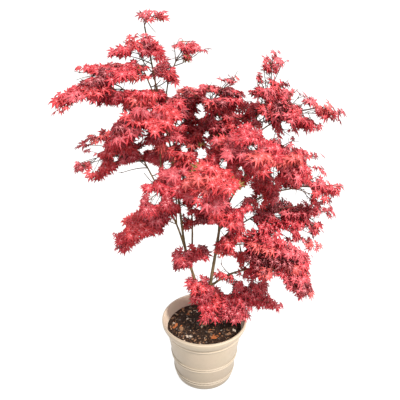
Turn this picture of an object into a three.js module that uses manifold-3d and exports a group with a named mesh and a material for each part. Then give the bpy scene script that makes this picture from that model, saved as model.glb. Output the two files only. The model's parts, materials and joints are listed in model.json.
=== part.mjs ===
// A potted Japanese maple in red leaf, with two stems from a short trunk, in a round ribbed planter.
// Millimetres, +Z up, +X to the right and -Y to the front. The origin is the centre of the planter's
// flat underside. Every sub-part is one closed solid: the planter, its soil, the trunk, the two stems,
// each bough, and each mass of foliage, which is a stem with side twigs and lobed leaves grown as one.
import * as THREE from 'three';
import { mergeVertices } from 'three/addons/utils/BufferGeometryUtils.js';
import Module from 'manifold-3d';

const wasm = await Module();
wasm.setup();

const UP = new THREE.Vector3(0, 0, 1);
const CLEAR = 0.3;          // gap between two solids that meet
const DEGREE = Math.PI / 180;
const STEEP = 0.9;          // rise of a heading that counts as upright
const MERGE = 1e-4;         // corners nearer than this are one
const generator = { factor: 16807, modulus: 2147483647, stride: 7919, offset: 17 };

// ---------------------------------------------------------------- driving sizes

const planter = {
  height: 320,
  rim: 203,                 // outer radius of the rolled rim
  lip: 9,                   // how thick the rim is at the top
  rolled: [3, 9],           // how far the rim is rounded inwards and downwards
  foot: 132,                // outer radius of the flat underside
  heel: [140, 6],           // radius and height where the rounding of the foot ends
  wallLow: [144, 18],       // radius and height where the side wall starts
  wallHigh: [177, 250],     // and where it meets the collar
  collar: [[182, 254], [181, 262], [193, 276], [200, 294]],   // outside of the collar, from below
  thickness: 5,
  floor: 9,
  bead: 3.2,                // how far a bead stands out of the wall
  beadHalf: 5,              // and half its height
  beadHeights: [37, 50, 127, 140],
  sides: 32,
};

const soil = {
  level: 268,
  mound: 9,                 // how much higher it lies in the middle
  seat: 40,                 // radius of the flat top that the trunk stands on
  shoulder: [0.75, 0.7],    // share of the radius, and of the mound, where its slope grows steeper
  gap: 0.6,                 // between the soil and the planter's wall, corner to corner
};

const trunk = {
  base: [0, 4],             // where it stands on the soil
  fork: [6, 2, 372],
  radius: 12.5,
  flare: 12,                // how much wider the root flare is at the soil
  flareHeight: 11,
  roots: 3,
  rib: 0.16,                // how far the roots stand out at the soil, as a share of its radius
  turn: 0.7,                // radians the roots are turned by
  heights: [0, 0.12, 0.28, 0.55, 1],
  sides: 10,
};

const wood = {
  footShare: 0.8,           // a bough's foot radius as a share of its parent's radius there
  tip: 2.8,
  rise: 0.13,               // how far a bough first follows its parent, as a share of its length
  sunk: 4,                  // how far a stem's foot starts below the top of the trunk
  sides: 5,
  steps: 4,
  stemSteps: 12,
};

// The two stems leave the fork at start, pass through the points in via and end at tip.
const stems = [
  { name: 'stem_left', start: [-3, 0], radius: 7.2, tip: [-230, 40, 1605],
    via: [[-50, -10, 550], [-85, -20, 690], [-108, 12, 860], [-132, 30, 1080], [-185, 40, 1330]] },
  { name: 'stem_right', start: [13, 3], radius: 8.4, tip: [250, 55, 1335],
    via: [[32, 0, 535], [52, 5, 680], [69, 10, 808], [93, 28, 955], [140, 42, 1120]] },
];

// Each bough leaves its parent at a height and bends over to its tip.
const boughs = [
  { name: 'bough_left', parent: 'stem_left', height: 690, via: [-132, -55, 860],
    tip: [-258, -52, 1135] },
  { name: 'bough_low_left', parent: 'bough_left', height: 860, tip: [-150, -92, 930] },
  { name: 'bough_upper_left', parent: 'bough_left', height: 950, tip: [-145, -95, 1268] },
  { name: 'bough_front_left', parent: 'bough_left', height: 830, tip: [-85, -150, 1060] },
  { name: 'bough_tier_left', parent: 'stem_left', height: 1060, tip: [-300, -105, 1390] },
  { name: 'bough_tier_top', parent: 'stem_left', height: 1200, tip: [-225, -45, 1440] },
  { name: 'bough_tier_back', parent: 'stem_left', height: 1120, tip: [-195, 100, 1335] },
  { name: 'bough_top_spray', parent: 'stem_left', height: 1250, tip: [-118, 85, 1480] },
  { name: 'bough_top_back', parent: 'stem_left', height: 1100, tip: [-100, 170, 1300] },
  { name: 'bough_centre_back', parent: 'stem_left', height: 590, via: [-56, 30, 800],
    tip: [-75, 110, 1165] },
  { name: 'bough_back_left', parent: 'stem_left', height: 860, tip: [-130, 175, 1005] },
  { name: 'bough_right_tail', parent: 'stem_right', height: 490, via: [130, -10, 566],
    tip: [330, -95, 668] },
  { name: 'bough_right_low', parent: 'stem_right', height: 655, tip: [165, -25, 722] },
  { name: 'bough_right_back', parent: 'stem_right', height: 705, via: [123, 30, 765],
    tip: [225, 70, 815] },
  { name: 'bough_right_spur', parent: 'stem_right', height: 780, tip: [405, 40, 965] },
  { name: 'bough_back_mid', parent: 'stem_right', height: 770, tip: [60, 200, 975] },
  { name: 'bough_right_upper', parent: 'stem_right', height: 840, tip: [230, -40, 1110] },
  { name: 'bough_front', parent: 'stem_right', height: 880, tip: [25, -200, 1110] },
  { name: 'bough_front_right', parent: 'stem_right', height: 940, tip: [125, -110, 1175] },
  { name: 'bough_back', parent: 'stem_right', height: 980, tip: [85, 175, 1145] },
  { name: 'bough_centre_top', parent: 'stem_right', height: 1040, tip: [25, 90, 1315] },
  { name: 'bough_right_far', parent: 'stem_right', height: 1110, tip: [310, -5, 1272] },
  { name: 'bough_back_right', parent: 'stem_right', height: 1170, tip: [195, 110, 1268] },
];

// Each mass grows along its reach from a limb's tip, or from a limb's side at a height. Its space is an
// ellipsoid round that reach, so wide and so thick; bare is the share of its stem without leaves.
const masses = [
  { name: 'leaves_crest', limb: 'stem_left', reach: [50, 10, 35], width: 150, thick: 120, bare: 0.3 },
  { name: 'leaves_peak', limb: 'stem_left', height: 1440, side: [-0.7, -0.5, 0.5], reach: [-50, -70, 85],
    width: 240, thick: 170, bare: 0.4 },
  { name: 'leaves_peak_right', limb: 'stem_left', height: 1385, side: [0.9, 0.2, 0.3], reach: [75, 20, 50],
    width: 170, thick: 140 },
  { name: 'leaves_tier_top', limb: 'bough_tier_top', reach: [-220, -40, -20], width: 260, thick: 120 },
  { name: 'leaves_tier_left', limb: 'bough_tier_left', reach: [-210, -50, -45], width: 230, thick: 120 },
  { name: 'leaves_tier_back', limb: 'bough_tier_back', reach: [-170, 40, -10], width: 230, thick: 150 },
  { name: 'leaves_top_spray', limb: 'bough_top_spray', reach: [45, 30, 60],
    width: 200, thick: 130, bare: 0.3 },
  { name: 'leaves_top_back', limb: 'bough_top_back', reach: [90, 110, 30], width: 200, thick: 130 },
  { name: 'leaves_upper_left', limb: 'bough_upper_left', reach: [-170, -90, -10], width: 260, thick: 200 },
  { name: 'leaves_left', limb: 'bough_left', reach: [-230, -20, -45], width: 240, thick: 200 },
  { name: 'leaves_low_left', limb: 'bough_low_left', reach: [-190, -60, -140], width: 220, thick: 190 },
  { name: 'leaves_front_left', limb: 'bough_front_left', reach: [-130, -190, -30], width: 250, thick: 190 },
  { name: 'leaves_centre_back', limb: 'bough_centre_back', reach: [-100, 150, 40], width: 240, thick: 180 },
  { name: 'leaves_back_left', limb: 'bough_back_left', reach: [-140, 200, 30], width: 250, thick: 160 },
  { name: 'leaves_bottom_right', limb: 'stem_right', height: 420, side: [0.9, 0.1, 0.3],
    reach: [280, 30, -40], width: 230, thick: 210, bare: 0.2 },
  { name: 'leaves_right_tail', limb: 'bough_right_tail', reach: [70, -40, -110], width: 170, thick: 160 },
  { name: 'leaves_right_low', limb: 'bough_right_low', reach: [220, -30, -50], width: 270, thick: 260 },
  { name: 'leaves_right_back', limb: 'bough_right_back', reach: [300, 70, -50], width: 260, thick: 220 },
  { name: 'leaves_right_spur', limb: 'bough_right_spur', reach: [130, 30, -30], width: 190, thick: 150 },
  { name: 'leaves_front_low', limb: 'stem_right', height: 830, side: [-0.1, -0.9, 0.4],
    reach: [-20, -200, 90], width: 280, thick: 160, bare: 0.3 },
  { name: 'leaves_back_mid', limb: 'bough_back_mid', reach: [0, 240, 60], width: 280, thick: 170 },
  { name: 'leaves_right_upper', limb: 'bough_right_upper', reach: [150, -40, -50], width: 260, thick: 280 },
  { name: 'leaves_front', limb: 'bough_front', reach: [-10, -220, 0], width: 270, thick: 180 },
  { name: 'leaves_front_right', limb: 'bough_front_right', reach: [60, -210, 30], width: 270, thick: 220 },
  { name: 'leaves_back', limb: 'bough_back', reach: [20, 240, 80], width: 280, thick: 190 },
  { name: 'leaves_centre_top', limb: 'bough_centre_top', reach: [100, 40, 75], width: 260, thick: 150 },
  { name: 'leaves_right_far', limb: 'bough_right_far', reach: [165, -30, 15], width: 210, thick: 170 },
  { name: 'leaves_back_right', limb: 'bough_back_right', reach: [210, 140, 45], width: 250, thick: 150 },
  { name: 'leaves_right_crest', limb: 'stem_right', reach: [10, 20, 145], width: 160, thick: 150 },
  { name: 'spray_left', limb: 'stem_left', height: 625, side: [-0.6, -0.8, 0], reach: [-30, -50, 45],
    width: 180, thick: 140, bare: 0.1 },
  { name: 'spray_trunk', limb: 'trunk', height: 350, side: [-0.3, -0.9, 0.2], reach: [-45, -50, 150],
    width: 180, thick: 140, bare: 0.5 },
  { name: 'spray_right', limb: 'stem_right', height: 690, side: [0.9, -0.4, 0], reach: [75, -30, 50],
    width: 150, thick: 120 },
];

const twig = {
  stem: [3, 2.2],           // radius of a mass's own stem, at its foot and at its end
  side: [2.2, 1.8],         // and of its side twigs
  node: 7,                  // length of the short run that leaves and side twigs grow from
  spacing: 34,              // along the stem, between nodes
  bare: 0.2,                // share of the stem below the first node
  bend: 0.35,               // share of its reach for which a stem follows its limb before it bends over
  spread: [48, 76],         // degrees between a side twig and its stem
  share: [0.3, 0.48],       // length of a side twig with its end leaf, as a share of the mass's width
  least: 20,
  rise: [-0.2, 0.3],        // of a side twig's end, as a share of the mass's thickness
  tries: 6,
  offset: 0.2,              // how far into its share of the stem a node sits
  facing: 0.2,              // least cosine between a free side and what grows from it
};

const leaf = {
  length: 82,               // from the palm to the tip of the middle lobe
  lobeAngles: [-100, -49, 0, 49, 100],
  lobeLengths: [0.64, 0.9, 1, 0.9, 0.64],
  notch: 0.48,              // how far the cuts between the lobes reach from the palm
  shoulder: [-0.1, 0.03],   // where the stalk meets the blade
  stalk: 0.38,              // from the palm back to the stalk's foot
  peak: 0.025,              // height of the top of the palm over the stalk
  droop: 0.16,              // how far the lobes' tips hang below the palm
  scale: [1.06, 1.16],      // a leaf's own length, as a share of the length above
  shrink: 0.018,            // and how much of it is lost with each try
  sag: [20, 62],            // degrees that a leaf points below the level
  turn: [-60, 60],          // degrees it is turned from its heading
  roll: [-35, 35],          // degrees it is rolled about its middle lobe
  lift: 0.4,                // and how far a steep heading lifts it again
  forward: 0.6,             // how far a leaf beside a node heads along the twig
  reach: 0.6,               // share of a leaf's length that a mass's space goes beyond its stem
  bound: 1.15,              // how far out of its space a tip may be, as a share of the space's size
  facing: 0.1,              // least cosine between a leaf and the side it grows from
  tries: 24,                // places tried for a leaf before it is left out
};

const colours = { planter: 0xd9c4a8, soil: 0x2b1c16, bark: 0x6a5434, leaf: 0xb32436 };

// ---------------------------------------------------------------- solids

function standard(color, roughness, metalness = 0) {
  return new THREE.MeshStandardMaterial({ color, roughness, metalness, flatShading: true });
}

const between = (range, share) => THREE.MathUtils.lerp(...range, share);

const materials = {
  planter: standard(colours.planter, 0.45),
  soil: standard(colours.soil, 0.95),
  bark: standard(colours.bark, 0.85),
  leaf: standard(colours.leaf, 0.6),
};

// A closed three.js geometry as a manifold solid.
function toSolid(geometry) {
  const bare = new THREE.BufferGeometry();
  bare.setAttribute('position', geometry.getAttribute('position').clone());
  if (geometry.index) bare.setIndex(geometry.index.clone());
  const merged = mergeVertices(bare, MERGE);
  return new wasm.Manifold(new wasm.Mesh({
    numProp: 3,
    vertProperties: new Float32Array(merged.attributes.position.array),
    triVerts: new Uint32Array(merged.index.array),
  }));
}

function toGeometry(solid) {
  const { numProp, numVert, vertProperties, triVerts } = solid.getMesh();
  const position = new Float32Array(numVert * 3);
  for (let i = 0; i < numVert; i++) {
    position.set(vertProperties.subarray(i * numProp, i * numProp + 3), i * 3);
  }
  const geometry = new THREE.BufferGeometry();
  geometry.setAttribute('position', new THREE.BufferAttribute(position, 3));
  geometry.setIndex(new THREE.BufferAttribute(new Uint32Array(triVerts), 1));
  return geometry;
}

function geometryFrom(vertices, faces) {
  const geometry = new THREE.BufferGeometry();
  const position = vertices.flatMap((v) => v.toArray());
  geometry.setAttribute('position', new THREE.Float32BufferAttribute(position, 3));
  geometry.setIndex(faces.flat());
  return geometry;
}

// A closed body through rings of as many points each, with flat ends.
function ringed(rings) {
  const sides = rings[0].length;
  const last = (rings.length - 1) * sides;
  const faces = [];
  for (let row = 0; row < last; row += sides) {
    for (let k = 0; k < sides; k++) {
      const a = row + k;
      const b = row + ((k + 1) % sides);
      faces.push([a, b, b + sides], [a, b + sides, a + sides]);
    }
  }
  for (let k = 1; k + 1 < sides; k++) faces.push([0, k + 1, k], [last, last + k, last + k + 1]);
  return geometryFrom(rings.flat(), faces);
}

// A tube through the points, with a radius for each point.
function tube(points, radii, sides) {
  let across = new THREE.Vector3(0, 1, 0);
  const rings = points.map((point, i) => {
    const before = points[Math.max(i - 1, 0)];
    const after = points[Math.min(i + 1, points.length - 1)];
    const along = after.clone().sub(before).normalize();
    across = across.clone().addScaledVector(along, -across.dot(along)).normalize();
    const third = along.clone().cross(across);
    return Array.from({ length: sides }, (_, k) => point.clone()
      .addScaledVector(across, radii[i] * Math.cos((k / sides) * 2 * Math.PI))
      .addScaledVector(third, radii[i] * Math.sin((k / sides) * 2 * Math.PI)));
  });
  return ringed(rings);
}

// A curve cut into a few straight runs, with a radius that tapers from one end to the other.
class Path {
  constructor(curve, steps, radii) {
    this.points = Array.from({ length: steps + 1 }, (_, i) => curve.getPoint(i / steps));
    this.radii = radii;
  }

  run(share) {
    const scaled = THREE.MathUtils.clamp(share, 0, 1) * (this.points.length - 1);
    const index = Math.min(Math.floor(scaled), this.points.length - 2);
    return [this.points[index], this.points[index + 1], scaled - index];
  }

  pointAt(share) {
    const [from, to, part] = this.run(share);
    return from.clone().lerp(to, part);
  }

  wayAt(share) {
    const [from, to] = this.run(share);
    return to.clone().sub(from).normalize();
  }

  radiusAt(share) {
    return between(this.radii, share);
  }

  // The share of the path at which it first reaches a height.
  shareAt(height) {
    const last = this.points.length - 1;
    const index = Math.max(this.points.findIndex((point) => point.z >= height), 1);
    const [from, to] = [this.points[index - 1], this.points[index]];
    return (index - 1 + THREE.MathUtils.clamp((height - from.z) / (to.z - from.z), 0, 1)) / last;
  }

  solid(sides, grow = 0) {
    const last = this.points.length - 1;
    return toSolid(tube(this.points, this.points.map((_, i) => this.radiusAt(i / last) + grow), sides));
  }
}

// ---------------------------------------------------------------- planter and soil

function wallRadius(height) {
  const [r0, z0] = planter.wallLow;
  const [r1, z1] = planter.wallHigh;
  return THREE.MathUtils.mapLinear(height, z0, z1, r0, r1);
}

// Half-round bead on the outside of the wall, as three profile points.
function bead(height) {
  const heights = [-1, 0, 1].map((k) => height + k * planter.beadHalf);
  return heights.map((z) => [wallRadius(z) + (z === height ? planter.bead : 0), z]);
}

function lathe(profile) {
  return toSolid(new THREE.LatheGeometry(profile.map(([r, z]) => new THREE.Vector2(r, z)), planter.sides)
    .rotateX(Math.PI / 2));
}

// The inside of the planter, from the floor up to the lip.
function insideProfile() {
  const { height, rim, lip, rolled, foot, wallLow, wallHigh, collar, thickness, floor } = planter;
  const inner = rim - lip;
  return [
    [0, floor], [foot - thickness, floor], [wallLow[0] - thickness, wallLow[1] + floor],
    [wallHigh[0] - thickness, wallHigh[1]], [collar[2][0] - 2 * thickness, collar[2][1]],
    [inner - rolled[0], height - rolled[1]], [inner, height],
  ];
}

function planterSolid() {
  const { height, rim, rolled, foot, heel, wallLow, wallHigh, collar, beadHeights } = planter;
  const outside = [
    [0, 0], [foot, 0], heel, wallLow, ...beadHeights.flatMap(bead),
    wallHigh, ...collar, [rim, height - rolled[1]], [rim - rolled[0], height],
  ];
  return lathe([...outside, ...insideProfile().reverse()]);
}

// The soil fills the planter up to its level and rises a little to the flat seat of the trunk.
function soilSolid() {
  const { level, mound, seat, shoulder, gap } = soil;
  const inside = insideProfile();
  const above = inside.findIndex(([, z]) => z > level);
  const [low, high] = [inside[above - 1], inside[above]];
  const edge = THREE.MathUtils.mapLinear(level, low[1], high[1], low[0], high[0]);
  const filled = inside.slice(1, above).map(([r, z]) => [r - gap, z + CLEAR]);
  return lathe([
    [0, filled[0][1]], ...filled, [edge - gap, level],
    [edge * shoulder[0], level + mound * shoulder[1]], [seat, level + mound], [0, level + mound],
  ]);
}

// ---------------------------------------------------------------- trunk, stems and boughs

const vector = ([x, y, z]) => new THREE.Vector3(x, y, z);

// The root flare widens the foot of the trunk, which is cut flat where it stands on the soil.
class Trunk extends Path {
  constructor() {
    const foot = new THREE.Vector3(...trunk.base, soil.level + soil.mound + CLEAR);
    super(new THREE.LineCurve3(foot, vector(trunk.fork)), 1, [trunk.radius, trunk.radius]);
    this.points = trunk.heights.map((share) => foot.clone().lerp(vector(trunk.fork), share));
  }

  solid(_, grow = 0) {
    const { sides, flare, flareHeight, radius, roots, rib, turn, heights } = trunk;
    const foot = this.points[0];
    const rings = this.points.map((point, i) => Array.from({ length: sides }, (unused, k) => {
      const angle = (k / sides) * 2 * Math.PI;
      const ribbed = 1 + rib * Math.cos(roots * angle + turn) * (1 - heights[i]);
      const r = (radius + flare * Math.exp(-(point.z - foot.z) / flareHeight)) * ribbed + grow;
      return new THREE.Vector3(point.x + r * Math.cos(angle), point.y + r * Math.sin(angle), point.z);
    }));
    return toSolid(ringed(rings));
  }
}

function makeLimbs() {
  const limbs = new Map([['trunk', new Trunk()]]);
  for (const { name, start, radius, via, tip } of stems) {
    const from = new THREE.Vector3(...start, trunk.fork[2] - wood.sunk);
    const curve = new THREE.CatmullRomCurve3([from, ...via.map(vector), vector(tip)], false, 'catmullrom');
    limbs.set(name, new Path(curve, wood.stemSteps, [radius, wood.tip]));
  }
  for (const { name, parent, height, tip, via } of boughs) {
    const from = limbs.get(parent);
    const share = from.shareAt(height);
    const start = from.pointAt(share);
    const end = vector(tip);
    const rise = from.wayAt(share).multiplyScalar(start.distanceTo(end) * wood.rise);
    const middle = via ? vector(via) : start.clone().lerp(end, 0.5).add(rise);
    const radius = from.radiusAt(share) * wood.footShare;
    const curve = new THREE.CatmullRomCurve3([start, middle, end], false, 'catmullrom');
    limbs.set(name, new Path(curve, wood.steps, [radius, Math.min(wood.tip, radius * wood.footShare)]));
  }
  return limbs;
}

const largest = (solid) => solid.decompose().sort((a, b) => b.volume() - a.volume())[0];

const boxesMeet = (a, b) => [0, 1, 2].every((i) => a.min[i] <= b.max[i] && b.min[i] <= a.max[i]);

// What is left of a solid that starts inside a limb, so that its foot fits the limb's side.
function cutClear(solid, limb) {
  return boxesMeet(solid.boundingBox(), limb.boundingBox()) ? largest(solid.subtract(limb)) : solid;
}

// Each limb is cut clear of the limbs made before it, so a bough's foot fits its parent's side.
function limbSolids(limbs) {
  const made = [];
  for (const [name, limb] of limbs) {
    let solid = limb.solid(wood.sides);
    for (const other of made) solid = cutClear(solid, other.grown);
    made.push({ name, solid, grown: limb.solid(wood.sides, CLEAR) });
  }
  return made;
}

// ---------------------------------------------------------------- leaves

// The corners of a lobed leaf, whose middle lobe points along direction and whose face is turned up and
// then rolled. The rim runs from the right of the stalk round the lobes to its left.
function leafCorners(palm, direction, length, roll) {
  const { lobeAngles, lobeLengths, notch, shoulder, peak, droop } = leaf;
  const upright = UP.clone().addScaledVector(direction, -UP.dot(direction)).normalize();
  const normal = upright.applyAxisAngle(direction, roll);
  const side = normal.clone().cross(direction);
  const at = (x, y, z) => palm.clone().addScaledVector(direction, x * length)
    .addScaledVector(side, y * length).addScaledVector(normal, z * length);
  const polar = (r, degrees, z) => at(r * Math.cos(degrees * DEGREE), r * Math.sin(degrees * DEGREE), z);
  const rim = [at(shoulder[0], -shoulder[1], 0)];
  lobeAngles.forEach((angle, i) => {
    if (i > 0) rim.push(polar(notch, (angle + lobeAngles[i - 1]) / 2, -droop * notch));
    rim.push(polar(lobeLengths[i], angle, -droop * lobeLengths[i]));
  });
  rim.push(at(shoulder[0], shoulder[1], 0));
  return [...rim, at(0, 0, peak)];
}

// The faces of a leaf by corner number, open where the stalk joins it.
function leafFaces() {
  const top = leaf.lobeAngles.length * 2 + 1;
  const last = top - 1;
  const faces = [[0, 2, 1], [last, last - 1, last - 2], [0, last, last - 2], [0, last - 2, 2]];
  for (let i = 0; i < last; i++) faces.push([i, i + 1, top]);
  for (let i = 2; i < last - 2; i += 2) faces.push([i, i + 2, i + 1]);
  for (let i = 2; i + 2 < last - 2; i += 2) faces.push([i, last - 2, i + 2]);
  return { faces, mouth: [last, top, 0] };
}

const blank = leafFaces();

// A body that grows: a ring of three corners is lofted to the next, and a face can open into a new branch.
class Growth {
  constructor() {
    this.corners = [];
    this.faces = [];
  }

  add(points) {
    const first = this.corners.length;
    this.corners.push(...points);
    return points.map((_, i) => first + i);
  }

  // Three sides of two faces each; returns the first face of each side.
  loft(from, to) {
    const first = this.faces.length;
    for (let k = 0; k < 3; k++) {
      const next = (k + 1) % 3;
      this.faces.push([from[k], from[next], to[next]], [from[k], to[next], to[k]]);
    }
    return [first, first + 2, first + 4];
  }

  cap(ring) {
    this.faces.push([...ring]);
    return this.faces.length - 1;
  }

  normal(face) {
    const [a, b, c] = this.faces[face].map((i) => this.corners[i]);
    return b.clone().sub(a).cross(c.clone().sub(a)).normalize();
  }

  middle(face) {
    const [a, b, c] = this.faces[face].map((i) => this.corners[i]);
    return a.clone().add(b).add(c).divideScalar(3);
  }

  // The ring's corners in the order that twists a branch from the face least.
  match(face, points) {
    const base = this.faces[face].map((i) => this.corners[i]);
    const middle = this.middle(face);
    const goal = points.reduce((sum, p) => sum.add(p), new THREE.Vector3()).divideScalar(3);
    const turns = [0, 1, 2].map((turn) => points.reduce((sum, p, k) => {
      const corner = points[(k + turn) % 3].clone().sub(goal);
      return sum + corner.distanceTo(base[k].clone().sub(middle));
    }, 0));
    const best = turns.indexOf(Math.min(...turns));
    return points.map((_, k) => (k + best) % 3);
  }

  // The branch as a closed solid of its own, to be tested before it is grown.
  branch(face, points, faces, mouth) {
    const order = this.match(face, mouth.map((i) => points[i]));
    const ring = order.map((k) => mouth[k] + 3);
    const trial = new Growth();
    const base = trial.add(this.faces[face].map((i) => this.corners[i]));
    trial.add(points);
    trial.loft(base, ring);
    trial.faces.push(...faces.map((f) => f.map((i) => i + 3)), [base[0], base[2], base[1]]);
    return { face, trial };
  }

  // Opens the face and grows the tested branch from it. Returns what turns the number of a face of the
  // branch alone into its number here: the six faces of the loft come before it, and the first of those
  // takes the opened face's place.
  graft({ face, trial }) {
    const numbers = [...this.faces[face], ...this.add(trial.corners.slice(3))];
    const faces = trial.faces.slice(0, -1).map((f) => f.map((i) => numbers[i]));
    const first = this.faces.length;
    this.faces[face] = faces[0];
    this.faces.push(...faces.slice(1));
    return (own) => first + 5 + own;
  }

  solid() {
    return toSolid(geometryFrom(this.corners, this.faces));
  }
}

// ---------------------------------------------------------------- foliage masses

// Park and Miller's generator, so the same seed always grows the same twigs.
function makeRandom(seed) {
  let state = (seed * generator.stride + generator.offset) % generator.modulus;
  return () => {
    state = (state * generator.factor) % generator.modulus;
    return state / generator.modulus;
  };
}

// The space a mass keeps to.
class Space {
  constructor(foot, reach, width, thick) {
    this.centre = foot.clone().addScaledVector(reach, 0.5);
    this.along = reach.clone().normalize();
    const level = Math.abs(this.along.z) > STEEP ? new THREE.Vector3(0, 1, 0) : UP;
    this.across = level.clone().cross(this.along).normalize();
    this.over = this.along.clone().cross(this.across);
    this.half = [reach.length() / 2 + leaf.length * leaf.reach, width / 2, thick / 2];
  }

  // 1 on the surface of the ellipsoid, less inside.
  depth(point) {
    const d = point.clone().sub(this.centre);
    const [a, b, c] = this.half;
    return Math.hypot(d.dot(this.along) / a, d.dot(this.across) / b, d.dot(this.over) / c);
  }
}

const meets = (a, b) => boxesMeet(a.box, b.box) && a.solid.minGap(b.solid, CLEAR) < CLEAR;

const boxed = (solid) => ({ solid, box: solid.boundingBox() });

// Three corners round a point, one side facing up.
function ringAround(point, along, radius) {
  const side = UP.clone().cross(along);
  if (side.length() < Math.sqrt(1 - STEEP ** 2) / 2) side.set(1, 0, 0);
  side.addScaledVector(along, -side.dot(along)).normalize();
  const over = along.clone().cross(side);
  return [150, 270, 390].map((degrees) => point.clone()
    .addScaledVector(side, radius * Math.cos(degrees * DEGREE))
    .addScaledVector(over, radius * Math.sin(degrees * DEGREE)));
}

// The stem of a mass: a tapering run of rings, with a short run at each node.
function growStem(mass, index, limbs) {
  const limb = limbs.get(mass.limb);
  const reach = vector(mass.reach);
  const share = mass.side ? limb.shareAt(mass.height) : 1;
  const heading = mass.side ? vector(mass.side).normalize() : limb.wayAt(1);
  const foot = limb.pointAt(share).addScaledVector(heading, CLEAR);
  const space = new Space(foot, reach, mass.width, mass.thick);
  const bend = foot.clone().addScaledVector(heading, reach.length() * twig.bend);
  const curve = new THREE.QuadraticBezierCurve3(foot, bend, foot.clone().add(reach));
  const bare = mass.bare ?? twig.bare;
  const count = Math.max(1, Math.round(reach.length() * (1 - bare) / twig.spacing));
  const half = twig.node / reach.length() / 2;
  const growth = new Growth();
  const ringAt = (t) => growth.add(ringAround(curve.getPoint(t), curve.getTangent(t),
    between(twig.stem, t)));
  const nodes = [];
  let ring = ringAt(0);
  growth.cap([ring[0], ring[2], ring[1]]);
  for (let i = 0; i < count; i++) {
    const t = bare + (1 - bare) * (i + twig.offset) / count;
    const [lower, upper] = [ringAt(t - half), ringAt(t + half)];
    growth.loft(ring, lower);
    nodes.push({ sides: growth.loft(lower, upper), along: curve.getTangent(t), twigs: i % 2 === 0 });
    ring = upper;
  }
  const [lower, upper] = [ringAt(1 - 2 * half), ringAt(1)];
  growth.loft(ring, lower);
  const sides = growth.loft(lower, upper);
  nodes.push({ sides, end: growth.cap(upper), along: curve.getTangent(1), twigs: false });
  return { mass, index, space, growth, nodes, random: makeRandom(index + 1) };
}

// The free side of a node that faces a heading best.
function sideFacing(growth, sides, heading) {
  const open = sides.filter((face) => face !== null);
  const best = open.sort((a, b) => growth.normal(b).dot(heading) - growth.normal(a).dot(heading))[0];
  return best !== undefined && growth.normal(best).dot(heading) > twig.facing ? best : null;
}

const clear = (entry, taken, index) => taken.every((t) => t.owner === index || !meets(entry, t));

// A side twig that is open at its foot, with a node at its end: a long run and a short one.
function sideTwig(start, way, length) {
  const body = new Growth();
  const rings = [twig.node, length, length + twig.node].map((d, i) => body.add(
    ringAround(start.clone().addScaledVector(way, d), way, twig.side[Math.min(i, 1)])));
  body.loft(rings[0], rings[1]);
  const sides = body.loft(rings[1], rings[2]);
  return { body, mouth: rings[0], sides, end: body.cap(rings[2]) };
}

// A pair of side twigs at a node, each with a node of its own at its end.
function growSides(grown, node, taken) {
  const { growth, space, mass, index, random } = grown;
  for (const hand of [1, -1]) {
    for (let attempt = 0; attempt < twig.tries; attempt++) {
      const spread = between(twig.spread, random()) * DEGREE;
      const whole = mass.width * between(twig.share, random());
      const length = Math.max(twig.least, whole - leaf.length / 2);
      const rise = between(twig.rise, random()) * mass.thick / length;
      const way = node.along.clone().multiplyScalar(Math.cos(spread))
        .addScaledVector(space.across, hand * Math.sin(spread))
        .addScaledVector(space.over, rise).normalize();
      const face = sideFacing(growth, node.sides, way);
      if (face === null) continue;
      const { body, mouth, sides, end } = sideTwig(growth.middle(face), way, length);
      const branch = growth.branch(face, body.corners, body.faces, mouth);
      const entry = boxed(branch.trial.solid());
      if (!clear(entry, taken, index)) continue;
      const numberOf = growth.graft(branch);
      node.sides[node.sides.indexOf(face)] = null;
      taken.push({ owner: index, wood: true, ...entry });
      grown.nodes.push({ sides: sides.map(numberOf), end: numberOf(end), along: way, twigs: false, hand });
      break;
    }
  }
}

// A leaf on a face of a node, by the first of a few tries that keeps to its space and touches nothing.
function growLeaf(grown, node, face, heading, taken) {
  const { growth, space, index, random } = grown;
  if (face === null) return;
  const foot = growth.middle(face);
  const outward = growth.normal(face);
  for (let attempt = 0; attempt < leaf.tries; attempt++) {
    const sag = between(leaf.sag, random()) * DEGREE;
    const turn = between(leaf.turn, random()) * DEGREE;
    const roll = between(leaf.roll, random()) * DEGREE;
    const length = leaf.length * (between(leaf.scale, random()) - leaf.shrink * attempt);
    const way = heading.clone().applyAxisAngle(UP, turn);
    const level = new THREE.Vector3(way.x, way.y, 0.001).normalize().multiplyScalar(Math.cos(sag));
    const direction = level.addScaledVector(UP, way.z * leaf.lift - Math.sin(sag)).normalize();
    if (direction.dot(outward) < leaf.facing) continue;
    const palm = foot.clone().addScaledVector(direction, leaf.stalk * length);
    if (space.depth(palm.clone().addScaledVector(direction, length)) > leaf.bound) continue;
    const corners = leafCorners(palm, direction, length, roll);
    const branch = growth.branch(face, corners, blank.faces, blank.mouth);
    const whole = boxed(branch.trial.solid());
    const [left, top, right] = blank.mouth;
    const blade = boxed(toSolid(geometryFrom(corners, [...blank.faces, [left, right, top]])));
    if (!taken.every((t) => !meets(t.owner === index && t.wood ? blade : whole, t))) continue;
    growth.graft(branch);
    node.sides = node.sides.map((side) => (side === face ? null : side));
    taken.push({ owner: index, ...whole });
    return;
  }
}

// One leaf at the end of each twig and two or three round each node.
function growLeaves(grown, taken) {
  const { growth, nodes, space } = grown;
  const beside = (node, heading) => {
    growLeaf(grown, node, sideFacing(growth, node.sides, heading), heading, taken);
  };
  for (const node of nodes) {
    if (node.end !== undefined) growLeaf(grown, node, node.end, node.along, taken);
  }
  for (const node of nodes) {
    const across = node.hand === undefined ? space.across : space.along;
    for (const hand of [1, -1]) {
      const ahead = node.along.clone().multiplyScalar(leaf.forward);
      beside(node, ahead.addScaledVector(across, hand).normalize());
    }
    if (node.hand === undefined) beside(node, node.along.clone().add(space.over).normalize());
  }
}

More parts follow.
